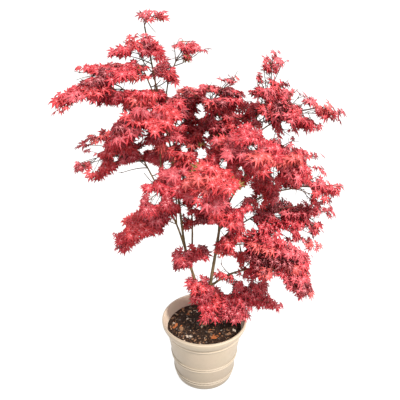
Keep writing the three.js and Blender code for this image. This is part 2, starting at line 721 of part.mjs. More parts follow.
// All stems grow first, then all side twigs and then the leaves, so no stem meets a leaf in its way.
function massSolids(limbs, wooden, others) {
  const grown = masses.map((mass, index) => growStem(mass, index, limbs));
  const solids = [...others, ...wooden.map((limb) => limb.solid)];
  const taken = solids.map((solid) => ({ owner: -1, ...boxed(solid) }));
  for (const g of grown) taken.push({ owner: g.index, wood: true, ...boxed(g.growth.solid()) });
  for (const g of grown) {
    for (const node of g.nodes.filter(({ twigs }) => twigs)) growSides(g, node, taken);
  }
  for (const g of grown) growLeaves(g, taken);
  return grown.map(({ mass, growth }) => {
    const limb = wooden.find(({ name }) => name === mass.limb);
    return { name: mass.name, solid: cutClear(growth.solid(), limb.grown) };
  });
}

// ---------------------------------------------------------------- the plant

function mesh(name, solid, material) {
  const made = new THREE.Mesh(toGeometry(solid), material);
  made.name = name;
  return made;
}

const plant = new THREE.Group();
const pot = planterSolid();
const earth = soilSolid();
const limbs = makeLimbs();
const wooden = limbSolids(limbs);
const foliage = massSolids(limbs, wooden, [pot, earth]);

plant.add(mesh('planter', pot, materials.planter));
plant.add(mesh('soil', earth, materials.soil));
wooden.forEach(({ name, solid }) => plant.add(mesh(name, solid, materials.bark)));
foliage.forEach(({ name, solid }) => plant.add(mesh(name, solid, materials.leaf)));

export default plant;
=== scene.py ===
# A potted maple in red leaf. The planter, soil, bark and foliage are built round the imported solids,
# and twigs and leaves grow on from the same limbs by the same rule, only finer. Lengths are in metres.
import json
import math
import bpy
import numpy as np
from mathutils import Matrix, Vector, kdtree

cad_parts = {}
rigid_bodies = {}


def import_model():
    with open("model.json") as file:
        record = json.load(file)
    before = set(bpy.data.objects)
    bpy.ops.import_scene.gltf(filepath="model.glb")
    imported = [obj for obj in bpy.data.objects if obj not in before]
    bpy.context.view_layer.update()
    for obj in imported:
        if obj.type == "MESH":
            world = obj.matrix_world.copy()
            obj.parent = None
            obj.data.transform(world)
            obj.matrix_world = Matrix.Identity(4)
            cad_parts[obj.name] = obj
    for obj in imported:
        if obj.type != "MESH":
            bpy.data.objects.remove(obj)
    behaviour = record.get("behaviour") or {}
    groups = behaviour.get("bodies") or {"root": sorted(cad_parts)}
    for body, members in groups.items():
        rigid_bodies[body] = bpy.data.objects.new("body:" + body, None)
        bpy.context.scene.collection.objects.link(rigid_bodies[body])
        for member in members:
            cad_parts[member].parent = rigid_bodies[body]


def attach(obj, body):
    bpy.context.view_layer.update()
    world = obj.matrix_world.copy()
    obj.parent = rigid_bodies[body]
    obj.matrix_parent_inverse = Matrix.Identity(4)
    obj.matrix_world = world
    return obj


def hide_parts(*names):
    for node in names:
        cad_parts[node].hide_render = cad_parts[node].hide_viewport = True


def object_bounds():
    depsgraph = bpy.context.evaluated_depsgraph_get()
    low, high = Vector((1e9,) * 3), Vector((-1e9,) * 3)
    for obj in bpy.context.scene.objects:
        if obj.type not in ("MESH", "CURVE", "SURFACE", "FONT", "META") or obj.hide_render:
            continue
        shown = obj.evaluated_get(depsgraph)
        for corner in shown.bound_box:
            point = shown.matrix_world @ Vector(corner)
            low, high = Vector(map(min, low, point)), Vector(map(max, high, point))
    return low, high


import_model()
cadLow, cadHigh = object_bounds()
up = Vector((0, 0, 1))
steep = 0.9   # a part of a unit way over which the way counts as lying along that axis


# Park and Miller's generator, as in the source of the solids
generator = {"factor": 16807, "modulus": 2147483647, "stride": 7919, "offset": 17}


def makeRandom(seed):
    modulus = generator["modulus"]
    state = (seed * generator["stride"] + generator["offset"]) % modulus

    def draw():
        nonlocal state
        state = state * generator["factor"] % modulus
        return state / modulus

    return draw


def between(pair, share):
    return pair[0] + (pair[1] - pair[0]) * share


# odd numbers and a mask that mix the bits of a cell's place
hashing = {"seed": 374761393, "axis": 668265263, "nextAxis": 2 * 15485863, "mix": 1274126177,
           "mask": 0xFFFFFFFF, "shift": 15, "kept": 0xFFFF}


# smooth noise in any number of dimensions, from -1 to 1
def roughness(points, scale, seed):
    cells = np.asarray(points, float) / scale
    low = np.floor(cells).astype(np.int64)
    part = cells - low
    part = part * part * (3 - 2 * part)
    total = 0
    for corner in np.ndindex(*(2,) * cells.shape[-1]):
        mixed = np.full(cells.shape[:-1], seed * hashing["seed"], np.int64)
        weight = 1
        for axis, step in enumerate(corner):
            odd = hashing["axis"] + axis * hashing["nextAxis"]
            mixed = (mixed ^ ((low[..., axis] + step) * odd)) & hashing["mask"]
            mixed = (mixed * hashing["mix"]) & hashing["mask"]
            mixed ^= mixed >> hashing["shift"]
            weight = weight * (part[..., axis] if step else 1 - part[..., axis])
        total = total + weight * (mixed & hashing["kept"]) / hashing["kept"]
    return total * 2 - 1


# triangles of a grid of points, with its columns closed into a ring
def ringFaces(rows, columns):
    row, column = np.meshgrid(np.arange(rows - 1), np.arange(columns), indexing="ij")
    a = (row * columns + column).ravel()
    b = (row * columns + (column + 1) % columns).ravel()
    return np.concatenate([np.stack([a, b, b + columns], 1), np.stack([a, b + columns, a + columns], 1)])


# the corners and faces of one piece, gathered until it is made
class Pile:
    def __init__(self):
        self.corners, self.faces, self.finishes, self.count = [], [], [], 0

    def add(self, corners, faces, finish=0):
        corners = np.asarray(corners, float).reshape(-1, 3)
        faces = np.asarray(faces, int).reshape(-1, 3)
        self.corners.append(corners)
        self.faces.append(faces + self.count)
        self.finishes.append(np.broadcast_to(finish, len(faces)))
        self.count += len(corners)

    def make(self, name, materials, slot, replaced=(), smooth=True):
        corners = np.concatenate(self.corners)
        faces = np.concatenate(self.faces)
        mesh = bpy.data.meshes.new(name)
        mesh.vertices.add(len(corners))
        mesh.vertices.foreach_set("co", corners.astype(np.float32).ravel())
        mesh.loops.add(faces.size)
        mesh.loops.foreach_set("vertex_index", faces.astype(np.int32).ravel())
        mesh.polygons.add(len(faces))
        mesh.polygons.foreach_set("loop_start", np.arange(0, faces.size, 3, dtype=np.int32))
        mesh.polygons.foreach_set("material_index", np.concatenate(self.finishes).astype(np.int32))
        mesh.polygons.foreach_set("use_smooth", np.full(len(faces), smooth))
        mesh.update(calc_edges=True)
        mesh.validate()
        for material in materials:
            mesh.materials.append(material)
        piece = bpy.data.objects.new(name, mesh)
        bpy.context.scene.collection.objects.link(piece)
        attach(piece, "root")
        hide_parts(*replaced)
        print(name, "has", len(faces), "triangles")
        return piece


# a principled material, and the few nodes that its finish is mixed from
class Finish:
    def __init__(self, name, rough=0.5, specular=0.5):
        self.material = bpy.data.materials.new(name)
        self.material.use_nodes = True
        self.tree = self.material.node_tree
        self.shader = self.tree.nodes["Principled BSDF"]
        self.shader.inputs["Roughness"].default_value = rough
        self.shader.inputs["Specular IOR Level"].default_value = specular
        self.place = self.tree.nodes.new("ShaderNodeTexCoord").outputs["Object"]

    def node(self, kind, sources=None, **settings):
        node = self.tree.nodes.new("ShaderNode" + kind)
        for name, value in settings.items():
            setattr(node, name, value)
        for name, value in (sources or {}).items():
            self.feed(value, node.inputs[name])
        return node

    def feed(self, value, socket):
        if isinstance(value, bpy.types.NodeSocket):
            self.tree.links.new(value, socket)
        else:
            socket.default_value = value

    def noise(self, scale, detail=4, stretch=(1, 1, 1), distortion=0):
        spread = self.node("Mapping", {"Vector": self.place, "Scale": stretch})
        return self.node("TexNoise", {"Vector": spread.outputs[0], "Scale": scale, "Detail": detail,
                                      "Distortion": distortion}).outputs["Fac"]

    def ramp(self, value, stops):
        ramp = self.node("ValToRGB", {"Fac": value})
        elements = ramp.color_ramp.elements
        while len(elements) < len(stops):
            elements.new(0.5)
        for element, (position, colour) in zip(elements, stops):
            element.position = position
            element.color = (*colour, 1) if hasattr(colour, "__len__") else (colour,) * 3 + (1,)
        return ramp.outputs["Color"]

    def mix(self, share, first, second, how="MIX"):
        mixer = self.node("Mix", {0: share}, data_type="RGBA", blend_type=how)
        self.feed((*first, 1) if isinstance(first, tuple) else first, mixer.inputs[6])
        self.feed((*second, 1) if isinstance(second, tuple) else second, mixer.inputs[7])
        return mixer.outputs[2]

    def height(self, where):
        parts = self.node("SeparateXYZ", {"Vector": self.place})
        low, high = where
        span = {"Value": parts.outputs["Z"], "From Min": low, "From Max": high}
        return self.node("MapRange", span).outputs[0]

    def finish(self, colour=None, rough=None, relief=None, depth=0.001, strength=0.5):
        if colour is not None:
            self.feed(colour, self.shader.inputs["Base Color"])
        if rough is not None:
            span = self.node("MapRange", {"Value": rough[0], "To Min": rough[1], "To Max": rough[2]})
            self.feed(span.outputs[0], self.shader.inputs["Roughness"])
        if relief is not None:
            bump = self.node("Bump", {"Height": relief, "Distance": depth, "Strength": strength})
            self.feed(bump.outputs[0], self.shader.inputs["Normal"])
        return self.material


camera = {
    "eye": (-0.021, -1.605, 1.530),
    "tilt": 20.8,                 # degrees that it looks down
    "lens": 36,
    "sensor": 36,
    "view": 400,                  # pixels across the view
}


# the way from the camera through a pixel of the view
def rayThrough(column, row):
    focal = camera["view"] * camera["lens"] / camera["sensor"]
    tilt = math.radians(camera["tilt"])
    ahead, rise = Vector((0, math.cos(tilt), -math.sin(tilt))), Vector((0, math.sin(tilt), math.cos(tilt)))
    half = camera["view"] / 2
    return ahead + Vector((1, 0, 0)) * (column - half) / focal - rise * (row - half) / focal


planter = {
    "height": 0.320,
    "rim": 0.203,
    "lip": 0.009,
    "foot": 0.132,
    "heel": (0.140, 0.006),
    "wallLow": (0.144, 0.018),
    "wallHigh": (0.177, 0.250),
    "wallTop": 0.246,
    # the collar and the rolled rim, as radius and height
    "collar": ((0.1766, 0.2500), (0.1790, 0.2515), (0.1818, 0.2545), (0.1828, 0.2580), (0.1818, 0.2615),
               (0.1800, 0.2640), (0.1800, 0.2658), (0.1835, 0.2695), (0.189, 0.275), (0.1935, 0.281),
               (0.200, 0.295)),
    "roll": ((0.2022, 0.300), (0.203, 0.308), (0.203, 0.314), (0.2022, 0.3175), (0.2, 0.3195),
             (0.1975, 0.320)),
    "sole": ((-0.004, 0), (0, 0.0004), (0.003, 0.0015)),            # out from the foot, and up
    "lipEdge": ((-0.002, 0.009), (0, 0.003), (0.001, 0.0008)),      # out from the lip's inside, and down
    "thickness": 0.005,
    "floor": 0.009,
    "run": 0.006,             # longest run of the profile outside, and inside
    "innerRun": 0.012,
    "uneven": (0.0012, 0.09, 3),   # moulded, so never quite round: how far, over what length, and its seed
    "bead": 0.0026,           # how far a bead stands out of the wall
    "beadHalf": 0.0042,
    "beadPoints": 9,
    "groove": 0.0016,         # and how deep the grooves beside it are
    "grooveOff": 1.4,         # from its middle to them, in halves of a bead
    "grooves": (0.0315, 0.0435, 0.0555, 0.1215, 0.1335, 0.1455, 0.2475, 0.2655),
    "grooveHalf": 0.0022,
    "beads": (0.037, 0.050, 0.127, 0.140),
    "sides": 144,
    "blotches": ((0.3, (0.465, 0.38, 0.275)), (0.75, (0.485, 0.38, 0.285))),
    # the inside's lighter colours: painted light, so that the shaded inside wall looks sunlit
    "stain": ((0.35, (0.72, 0.57, 0.46)), (0.75, (0.70, 0.585, 0.45))),
    # the dark colour that the dust and the painted shade mix in
    "dustAndShadeColour": (0.20, 0.165, 0.125),
    # the pale colour of the painted highlight
    "paintedHighlight": (0.70, 0.585, 0.45),
    "bright": (0.037, 0.050, 0.127, 0.140, 0.2575, 0.314),   # heights of the bead tops and the rim, painted paler as highlight
    "brightHalf": 0.0036,
    "dusty": ((0.45, 0), (0.8, 0.10)),                       # stops of the ramps for the dust, and for the painted shade low down and in the grooves
    # painted shade: the planter is made darker towards its bottom
    "shadeLow": ((0, 0.7), (0.2, 0.45), (0.5, 0.16), (0.8, 0)),
    # how dark the painted shade in the grooves beside the beads is
    "grooveShade": 0.65,
    "beadHighlight": 0.75,
    "gloss": (0.32, 0.55),
    "noise": {"blotches": (9, 5), "dust": (40, 6, (1, 1, 1), 0.6), "gloss": (30, 4), "grain": (420, 3),
              "stain": (14, 5)},
    "grain": (0.0004, 0.35),                                 # depth and strength of the fine relief
}


def wallRadius(height):
    (lowRadius, low), (highRadius, high) = planter["wallLow"], planter["wallHigh"]
    return lowRadius + (highRadius - lowRadius) * (height - low) / (high - low)


def beadProfile(height):
    half, turns = planter["beadHalf"], np.linspace(0, math.pi, planter["beadPoints"])
    rows = height - half * np.cos(turns)
    ridge = [(wallRadius(z) + planter["bead"] * math.sin(turn), z) for z, turn in zip(rows, turns)]
    low, high = height - half * planter["grooveOff"], height + half * planter["grooveOff"]
    return [(wallRadius(low) - planter["groove"], low), *ridge, (wallRadius(high) - planter["groove"], high)]


# more points along a profile, so that its corners keep their shape under smooth shading
def refined(profile, longest):
    fine = [profile[0]]
    for (r0, z0), (r1, z1) in zip(profile, profile[1:]):
        steps = max(1, math.ceil(math.hypot(r1 - r0, z1 - z0) / longest))
        fine += [(r0 + (r1 - r0) * i / steps, z0 + (z1 - z0) * i / steps) for i in range(1, steps + 1)]
    return fine


def insideProfile():
    p = planter
    inner = p["rim"] - p["lip"]
    return [(0, p["floor"]), (p["foot"] - p["thickness"], p["floor"]),
            (p["wallLow"][0] - p["thickness"], p["wallLow"][1] + p["floor"]),
            (p["wallHigh"][0] - p["thickness"], p["wallHigh"][1]),
            (p["collar"][-2][0] - 2 * p["thickness"], p["collar"][-2][1]),
            *((inner + out, p["height"] - down) for out, down in p["lipEdge"])]


def turned(profile, sides):
    profile = np.array(profile)
    turns = np.linspace(0, 2 * math.pi, sides, endpoint=False)
    return np.stack([np.outer(profile[:, 0], np.cos(turns)), np.outer(profile[:, 0], np.sin(turns)),
                     np.repeat(profile[:, 1:], sides, 1)], -1)


# stops of a ramp over the height that is dark but for a band at each of some heights
def bands(heights, half, most):
    rows = [(height + side * half, most * (side == 0)) for height in heights for side in (-1, 0, 1)]
    return [(0, 0)] + [(row / planter["height"], share) for row, share in rows if row < planter["height"]]


def makePlanter():
    p = planter
    outside = [(0, 0), *((p["foot"] + out, height) for out, height in p["sole"]), p["heel"], p["wallLow"]]
    for height in p["beads"]:
        outside += beadProfile(height)
    outside += [(wallRadius(p["wallTop"]), p["wallTop"]), *p["collar"], *p["roll"]]
    profile, hidden = refined(outside, p["run"]), refined(insideProfile()[::-1], p["innerRun"])
    kinds = np.tile(np.repeat([0] * len(profile) + [1] * (len(hidden) - 1), p["sides"]), 2)
    profile += hidden
    grid = turned(profile, p["sides"])
    depth, length, seed = p["uneven"]
    grid[..., :2] *= 1 + depth * roughness(grid, length, seed)[..., None]
    pile = Pile()
    pile.add(grid, ringFaces(len(profile), p["sides"]), kinds)
    noise = p["noise"]
    look = Finish("planterPlastic")
    blotches = look.ramp(look.noise(*noise["blotches"]), p["blotches"])
    dusty = look.ramp(look.noise(*noise["dust"]), p["dusty"])
    level = look.height((0, p["height"]))
    # painted shade: darker towards the bottom of the planter
    low = look.ramp(level, p["shadeLow"])
    # painted shade: a dark band in each groove beside the beads, where shade falls
    grooveShadeMask = look.ramp(level, bands(p["grooves"], p["grooveHalf"], p["grooveShade"]))
    # painted highlight: a pale band on each bead top and on the rim, where the light catches
    beadHighlight = look.ramp(level, bands(p["bright"], p["brightHalf"], p["beadHighlight"]))
    # the dust, which is the plastic's own, and the painted shade make one mask for the dark colour
    dustAndShade = look.mix(1, look.mix(1, dusty, low, "SCREEN"), grooveShadeMask, "SCREEN")
    paintedHighlight = look.mix(beadHighlight, look.mix(dustAndShade, blotches, p["dustAndShadeColour"]), p["paintedHighlight"])
    grain = look.noise(*noise["grain"])
    material = look.finish(paintedHighlight, (look.noise(*noise["gloss"]), *p["gloss"]), grain, *p["grain"])
    # the inside wall and floor get a lighter copy of the plastic: painted light, so the shaded inside looks
    # sunlit
    inner = Finish("planterInsideLit")
    stain = inner.ramp(inner.noise(*noise["stain"]), p["stain"])
    litInsideMaterial = inner.finish(stain, None, inner.noise(*noise["grain"]), *p["grain"])
    return pile.make("planter_moulded", [material, litInsideMaterial], "planter", ["planter"])


soil = {
    "level": 0.268,
    "mound": 0.009,
    "seat": 0.040,
    "shoulder": (0.75, 0.7),
    "gap": 0.0006,
    "under": 0.0003,          # its bottom's height over the planter's floor
    "underRun": 0.05,
    "rough": ((0.030, 0.0022), (0.011, 0.0026), (0.0042, 0.0016)),   # size and depth of the lumps
    "roughSeed": 11,
    "wallFade": 0.012,        # they fade out over this length at the wall
    "trunkFade": (0.02, 0.03, 0.15),   # and under the trunk: from here, over this length, to this share
    "rings": 74,
    "sides": 176,
    "shades": ((0.36, (0.012, 0.0055, 0.0035)), (0.58, (0.062, 0.028, 0.014)), (0.74, (0.20, 0.10, 0.05))),
    "crumbs": ((0.35, 0.25), (0.7, 1.0)),
    "crumbShare": 0.75,
    "gloss": (0.6, 1),
    "specular": 0.25,
    "relief": (0.003, 0.9),
    "noise": {"clods": (95, 8), "crumbs": (520, 5), "gloss": (140,), "relief": (330, 8)},
}


def soilEdge():
    inside = insideProfile()
    above = next(i for i, (_, z) in enumerate(inside) if z > soil["level"])
    (r0, z0), (r1, z1) = inside[above - 1], inside[above]
    return r0 + (r1 - r0) * (soil["level"] - z0) / (z1 - z0) - soil["gap"], inside[1:above]


def soilHeight(radius, edge):
    s = soil
    bend = edge * s["shoulder"][0]
    return s["level"] + s["mound"] * np.interp(radius, [s["seat"], bend, edge], [1, s["shoulder"][1], 0])


# height of the lumps at a place
def lumps(places, edge):
    radius = np.hypot(places[..., 0], places[..., 1])
    near, length, least = soil["trunkFade"]
    fade = np.clip((edge - radius) / soil["wallFade"], 0, 1) * np.clip((radius - near) / length, least, 1)
    return fade * sum(depth * roughness(places[..., :2], size, soil["roughSeed"] + i)
                      for i, (size, depth) in enumerate(soil["rough"]))


def makeSoil():
    edge, wall = soilEdge()
    reach = np.linspace(0, 1, soil["rings"])[::-1] * edge
    under = [(r - soil["gap"], z + soil["under"]) for r, z in wall]
    bottom = [(0, under[0][1]), *refined(under, soil["underRun"])]
    grid = turned(bottom + [(r, 0) for r in reach], soil["sides"])
    first = len(grid) - len(reach)
    top = grid[first:]
    top[..., 2] = soilHeight(np.hypot(top[..., 0], top[..., 1]), edge) + lumps(top, edge)
    pile = Pile()
    pile.add(grid, ringFaces(len(grid), soil["sides"]))
    noise = soil["noise"]
    look = Finish("pottingSoil", specular=soil["specular"])
    clods = look.ramp(look.noise(*noise["clods"]), soil["shades"])
    crumbs = look.ramp(look.noise(*noise["crumbs"]), soil["crumbs"])
    colour = look.mix(soil["crumbShare"], clods, crumbs, "MULTIPLY")
    gloss = look.noise(*noise["gloss"]), *soil["gloss"]
    material = look.finish(colour, gloss, look.noise(*noise["relief"]), *soil["relief"])
    return pile.make("soil_surface", [material], "soil", ["soil"])


# chips of bark and pale bits that lie on the soil, as irregular flat lumps
litter = {
    "chips": 620,
    "size": (0.004, 0.020),
    "thick": (0.0012, 0.0035),
    "sunk": 0.3,
    "sides": (5, 3),          # fewest sides of a bit, and how many more kinds there are
    "long": (0.28, 0.8),      # its width as a share of its length
    "uneven": (0.8, 0.4),     # its outline's least reach, and what is drawn on top
    "tilt": 0.9,
    "base": 0.8,              # a bit's foot and its top are smaller than its waist
    "top": (0.72, 0.2),
    "waist": 0.45,
    "clear": 0.012,           # from the soil's edge
    "spread": (0.03, 1),      # share of the soil's area, from its middle, that they are strewn over
    "seed": 71,
    "shades": {"chipDark": ((0.035, 0.017, 0.010), 0.44), "chipTan": ((0.36, 0.19, 0.10), 0.3),
               "chipGrey": ((0.17, 0.135, 0.115), 0.14), "chipPale": ((0.66, 0.53, 0.42), 0.1),
               "dryLeaf": ((0.52, 0.155, 0.045), 0.02), "fadedLeaf": ((0.66, 0.40, 0.37), 0)},
    "shadow": 0.45,           # how dark the dark side of a shade is
    "stops": (0.3, 0.65),
    "finish": (0.85, 0.3),    # roughness and specular
    "noise": (260, 5, (1, 1, 3)),
    "relief": (0.0008, 0.6),
    # larger bits at the front and left: column and row in the view, length and shade
    "placed": ((175, 325, 0.046, "dryLeaf"), (181, 329, 0.034, "chipTan"), (215, 336, 0.044, "dryLeaf"),
               (210, 332, 0.026, "chipTan"), (226, 316, 0.036, "fadedLeaf"), (183, 309, 0.044, "chipTan"),
               (190, 312, 0.032, "chipTan"), (189, 337, 0.034, "chipPale"), (195, 340, 0.024, "chipTan"),
               (228, 334, 0.036, "chipTan"), (234, 330, 0.028, "chipPale"), (197, 312, 0.020, "chipPale"),
               (202, 327, 0.020, "chipPale"), (224, 321, 0.022, "chipPale"), (171, 317, 0.030, "chipTan"),
               (176, 313, 0.026, "chipPale"), (236, 322, 0.022, "chipTan"), (204, 319, 0.020, "chipTan")),
    "level": 0.275,           # the height that they are placed at
}


# which of several kinds a draw falls on, by their shares
def pick(shares, share):
    for index, own in enumerate(shares):
        share -= own
        if share < 0:
            return index
    return len(shares) - 1


def soilTop(x, y, edge):
    place = np.array([x, y, 0.0])
    return float(soilHeight(math.hypot(x, y), edge) + lumps(place, edge))


def addChip(pile, draw, place, size, edge, shade):
    x, y = place
    thick = min(between(litter["thick"], draw()), size * 0.5)
    fewest, kinds = litter["sides"]
    sides = fewest + int(kinds * draw())
    turn, tilt = 2 * math.pi * draw(), litter["tilt"] * (draw() - 0.5)
    spin = Matrix.Rotation(turn, 3, "Z") @ Matrix.Rotation(tilt, 3, "X")
    long = between(litter["long"], draw())
    least, more = litter["uneven"]
    base = [Vector((size * math.cos(a) * (least + more * draw()) / 2,
                    size * long * math.sin(a) * (least + more * draw()) / 2, 0))
            for a in np.linspace(0, 2 * math.pi, sides, endpoint=False)]
    small, extra = litter["top"]
    rings = [[c * litter["base"] for c in base], [c + up * thick * litter["waist"] for c in base],
             [c * (small + extra * draw()) + up * thick for c in base]]
    foot = Vector((x, y, soilTop(x, y, edge) - thick * litter["sunk"]))
    points = [foot + spin @ c for ring in rings for c in ring]
    caps = [(0, k + 1, k) for k in range(1, sides - 1)]
    caps += [(2 * sides, 2 * sides + k, 2 * sides + k + 1) for k in range(1, sides - 1)]
    pile.add([tuple(c) for c in points], np.concatenate([ringFaces(3, sides), caps]), shade)


def makeLitter():
    draw = makeRandom(litter["seed"])
    edge, _ = soilEdge()
    pile = Pile()
    names = list(litter["shades"])
    shares = [share for _, share in litter["shades"].values()]
    for _ in range(litter["chips"]):
        radius = (edge - litter["clear"]) * math.sqrt(between(litter["spread"], draw()))
        turn = 2 * math.pi * draw()
        size = between(litter["size"], draw() ** 2)
        place = radius * math.cos(turn), radius * math.sin(turn)
        addChip(pile, draw, place, size, edge, pick(shares, draw()))
    for column, row, size, shade in litter["placed"]:
        way = rayThrough(column, row)
        spot = Vector(camera["eye"]) + way * (litter["level"] - camera["eye"][2]) / way.z
        reach = min(1, (edge - size * 0.5) / math.hypot(spot.x, spot.y))
        addChip(pile, draw, (spot.x * reach, spot.y * reach), size, edge, names.index(shade))
    materials = []
    for name, (colour, _) in litter["shades"].items():
        look = Finish(name, *litter["finish"])
        dark = tuple(c * litter["shadow"] for c in colour)
        grain = look.noise(*litter["noise"])
        shaded = look.ramp(grain, list(zip(litter["stops"], (dark, colour))))
        materials.append(look.finish(shaded, None, grain, *litter["relief"]))
    return pile.make("soil_litter", materials, "soil", smooth=False)


wood = {
    "footShare": 0.8,         # a bough's foot as a share of its parent, and its tip at most of its foot
    "tip": 0.0028,
    "rise": 0.13,             # how far a bough swings along its parent before it turns to its tip
    "sunk": 0.004,
    "step": 0.006,            # length of the runs that a limb is drawn with, and the fewest of them
    "fewest": 8,
    "sides": 18,
    "ridges": 0.055,          # depth of the bark's relief, as a share of the radius
    "knuckle": (0.14, 0.0035),   # swelling at an old node, over what length, and the length between two
    "between": (0.055, 0.085),
    "collar": (0.3, 0.014),   # swelling where a bough leaves its parent, over what length
    "barkSize": 0.8,          # of the relief, with rounds and lengths of limb counted in the next values
    "barkRound": 2.2,
    "trunkRound": 3,
    "barkLength": 0.02,
    "coarse": (0.7, 21),      # share and seed of the coarse ridges, and of the fine
    "fine": (0.4, 22),
    "finer": (2.5, 2.5, 1.4),
    "apart": 9,               # so that no two limbs have the same relief
    "trunkSeed": 5,
    "firstSeed": 500,
    "patches": ((0.38, (0.145, 0.098, 0.040)), (0.62, (0.245, 0.150, 0.075))),
    "cracks": ((0.32, 0), (0.5, 1)),
    "dark": (0.045, 0.028, 0.016),
    "noise": {"streaks": (150, 7, (1, 1, 0.16), 0.5), "patches": (22, 5), "relief": (330, 8, (1, 1, 0.3))},
    "gloss": (0.5, 0.9),
    "specular": 0.3,
    "relief": (0.0012, 0.8),  # depth and strength of the fine relief
}
trunk = {
    "base": (0, 0.004),
    "sunk": 0.002,
    "top": (0.006, 0.002, 0.372),
    "radius": 0.0125,
    "flare": 0.012,
    "flareHeight": 0.011,
    "roots": 3,               # old roots that swell the foot, by how much and turned how far
    "rib": 0.16,
    "turn": 0.7,
    "sides": 40,
}
stems = [
    {"name": "stem_left", "start": (-0.003, 0), "radius": 0.0072, "tip": (-0.23, 0.04, 1.605),
     "via": [(-0.05, -0.01, 0.55), (-0.085, -0.02, 0.69), (-0.108, 0.012, 0.86), (-0.132, 0.03, 1.08),
             (-0.185, 0.04, 1.33)]},
    {"name": "stem_right", "start": (0.013, 0.003), "radius": 0.0084, "tip": (0.25, 0.055, 1.335),
     "via": [(0.032, 0, 0.535), (0.052, 0.005, 0.68), (0.069, 0.01, 0.808), (0.093, 0.028, 0.955),
             (0.14, 0.042, 1.12)]},
]


# a bough's name and parent, the height it leaves that at, its tip, and the bend that it goes through
def bough(name, parent, height, tip, via=None):
    return {"name": name, "parent": parent, "height": height, "tip": tip, "via": via}


boughs = [
    bough("bough_left", "stem_left", 0.69, (-0.258, -0.052, 1.135), (-0.132, -0.055, 0.86)),
    bough("bough_low_left", "bough_left", 0.86, (-0.15, -0.092, 0.93)),
    bough("bough_upper_left", "bough_left", 0.95, (-0.145, -0.095, 1.268)),
    bough("bough_front_left", "bough_left", 0.83, (-0.085, -0.15, 1.06)),
    bough("bough_tier_left", "stem_left", 1.06, (-0.3, -0.105, 1.39)),
    bough("bough_tier_top", "stem_left", 1.2, (-0.225, -0.045, 1.44)),
    bough("bough_tier_back", "stem_left", 1.12, (-0.195, 0.1, 1.335)),
    bough("bough_top_spray", "stem_left", 1.25, (-0.118, 0.085, 1.48)),
    bough("bough_top_back", "stem_left", 1.1, (-0.1, 0.17, 1.3)),
    bough("bough_centre_back", "stem_left", 0.59, (-0.075, 0.11, 1.165), (-0.056, 0.03, 0.8)),
    bough("bough_back_left", "stem_left", 0.86, (-0.13, 0.175, 1.005)),
    bough("bough_right_tail", "stem_right", 0.49, (0.33, -0.095, 0.668), (0.13, -0.01, 0.566)),
    bough("bough_right_low", "stem_right", 0.655, (0.165, -0.025, 0.722)),
    bough("bough_right_back", "stem_right", 0.705, (0.225, 0.07, 0.815), (0.123, 0.03, 0.765)),
    bough("bough_right_spur", "stem_right", 0.78, (0.405, 0.04, 0.965)),
    bough("bough_back_mid", "stem_right", 0.77, (0.06, 0.2, 0.975)),
    bough("bough_right_upper", "stem_right", 0.84, (0.23, -0.04, 1.11)),
    bough("bough_front", "stem_right", 0.88, (0.025, -0.2, 1.11)),
    bough("bough_front_right", "stem_right", 0.94, (0.125, -0.11, 1.175)),
    bough("bough_back", "stem_right", 0.98, (0.085, 0.175, 1.145)),
    bough("bough_centre_top", "stem_right", 1.04, (0.025, 0.09, 1.315)),
    bough("bough_right_far", "stem_right", 1.11, (0.31, -0.005, 1.272)),
    bough("bough_back_right", "stem_right", 1.17, (0.195, 0.11, 1.268)),
]


# a point on the uniform Catmull-Rom curve through the points
def onCurve(points, share):
    place = share * (len(points) - 1)
    index = min(int(place), len(points) - 2)
    part = place - index
    p1, p2 = points[index], points[index + 1]
    p0 = points[index - 1] if index > 0 else p1 * 2 - p2
    p3 = points[index + 2] if index + 2 < len(points) else p2 * 2 - p1
    way1, way2 = (p2 - p0) * 0.5, (p3 - p1) * 0.5
    return (p1 + way1 * part + (p2 * 3 - p1 * 3 - way1 * 2 - way2) * part ** 2
            + (p1 * 2 - p2 * 2 + way1 + way2) * part ** 3)


# a limb, drawn with short runs, whose radius tapers from one end to the other
class Limb:
    def __init__(self, through, radii):
        length = sum((b - a).length for a, b in zip(through, through[1:]))
        steps = max(wood["fewest"], round(length / wood["step"]))
        self.points = [onCurve(through, i / steps) for i in range(steps + 1)]
        self.radii = radii
        self.length = length

    def place(self, share):
        scaled = min(max(share, 0), 1) * (len(self.points) - 1)
        index = min(int(scaled), len(self.points) - 2)
        return self.points[index], self.points[index + 1], scaled - index

    def pointAt(self, share):
        a, b, part = self.place(share)
        return a.lerp(b, part)

    def wayAt(self, share):
        a, b, _ = self.place(share)
        return (b - a).normalized()

    def radiusAt(self, share):
        return between(self.radii, share)

    def shareAt(self, height):
        index = next((i for i, p in enumerate(self.points) if p.z >= height), len(self.points) - 1)
        low, high = self.points[max(index - 1, 0)], self.points[max(index, 1)]
        part = min(max((height - low.z) / (high.z - low.z), 0), 1)
        return (max(index - 1, 0) + part) / (len(self.points) - 1)


def growLimbs():
    foot = Vector((*trunk["base"], soil["level"] + soil["mound"] - trunk["sunk"]))
    limbs = {"trunk": Limb([foot, Vector(trunk["top"])], (trunk["radius"],) * 2)}
    for stem in stems:
        start = Vector((*stem["start"], trunk["top"][2] - wood["sunk"]))
        through = [start, *map(Vector, stem["via"]), Vector(stem["tip"])]
        limbs[stem["name"]] = Limb(through, (stem["radius"], wood["tip"]))
    for row in boughs:
        parent = limbs[row["parent"]]
        share = parent.shareAt(row["height"])
        start, end = parent.pointAt(share), Vector(row["tip"])
        rise = parent.wayAt(share) * (start - end).length * wood["rise"]
        middle = Vector(row["via"]) if row["via"] else (start + end) / 2 + rise
        radius = parent.radiusAt(share) * wood["footShare"]
        thin = min(wood["tip"], radius * wood["footShare"])
        limbs[row["name"]] = Limb([start, middle, end], (radius, thin))
    return limbs


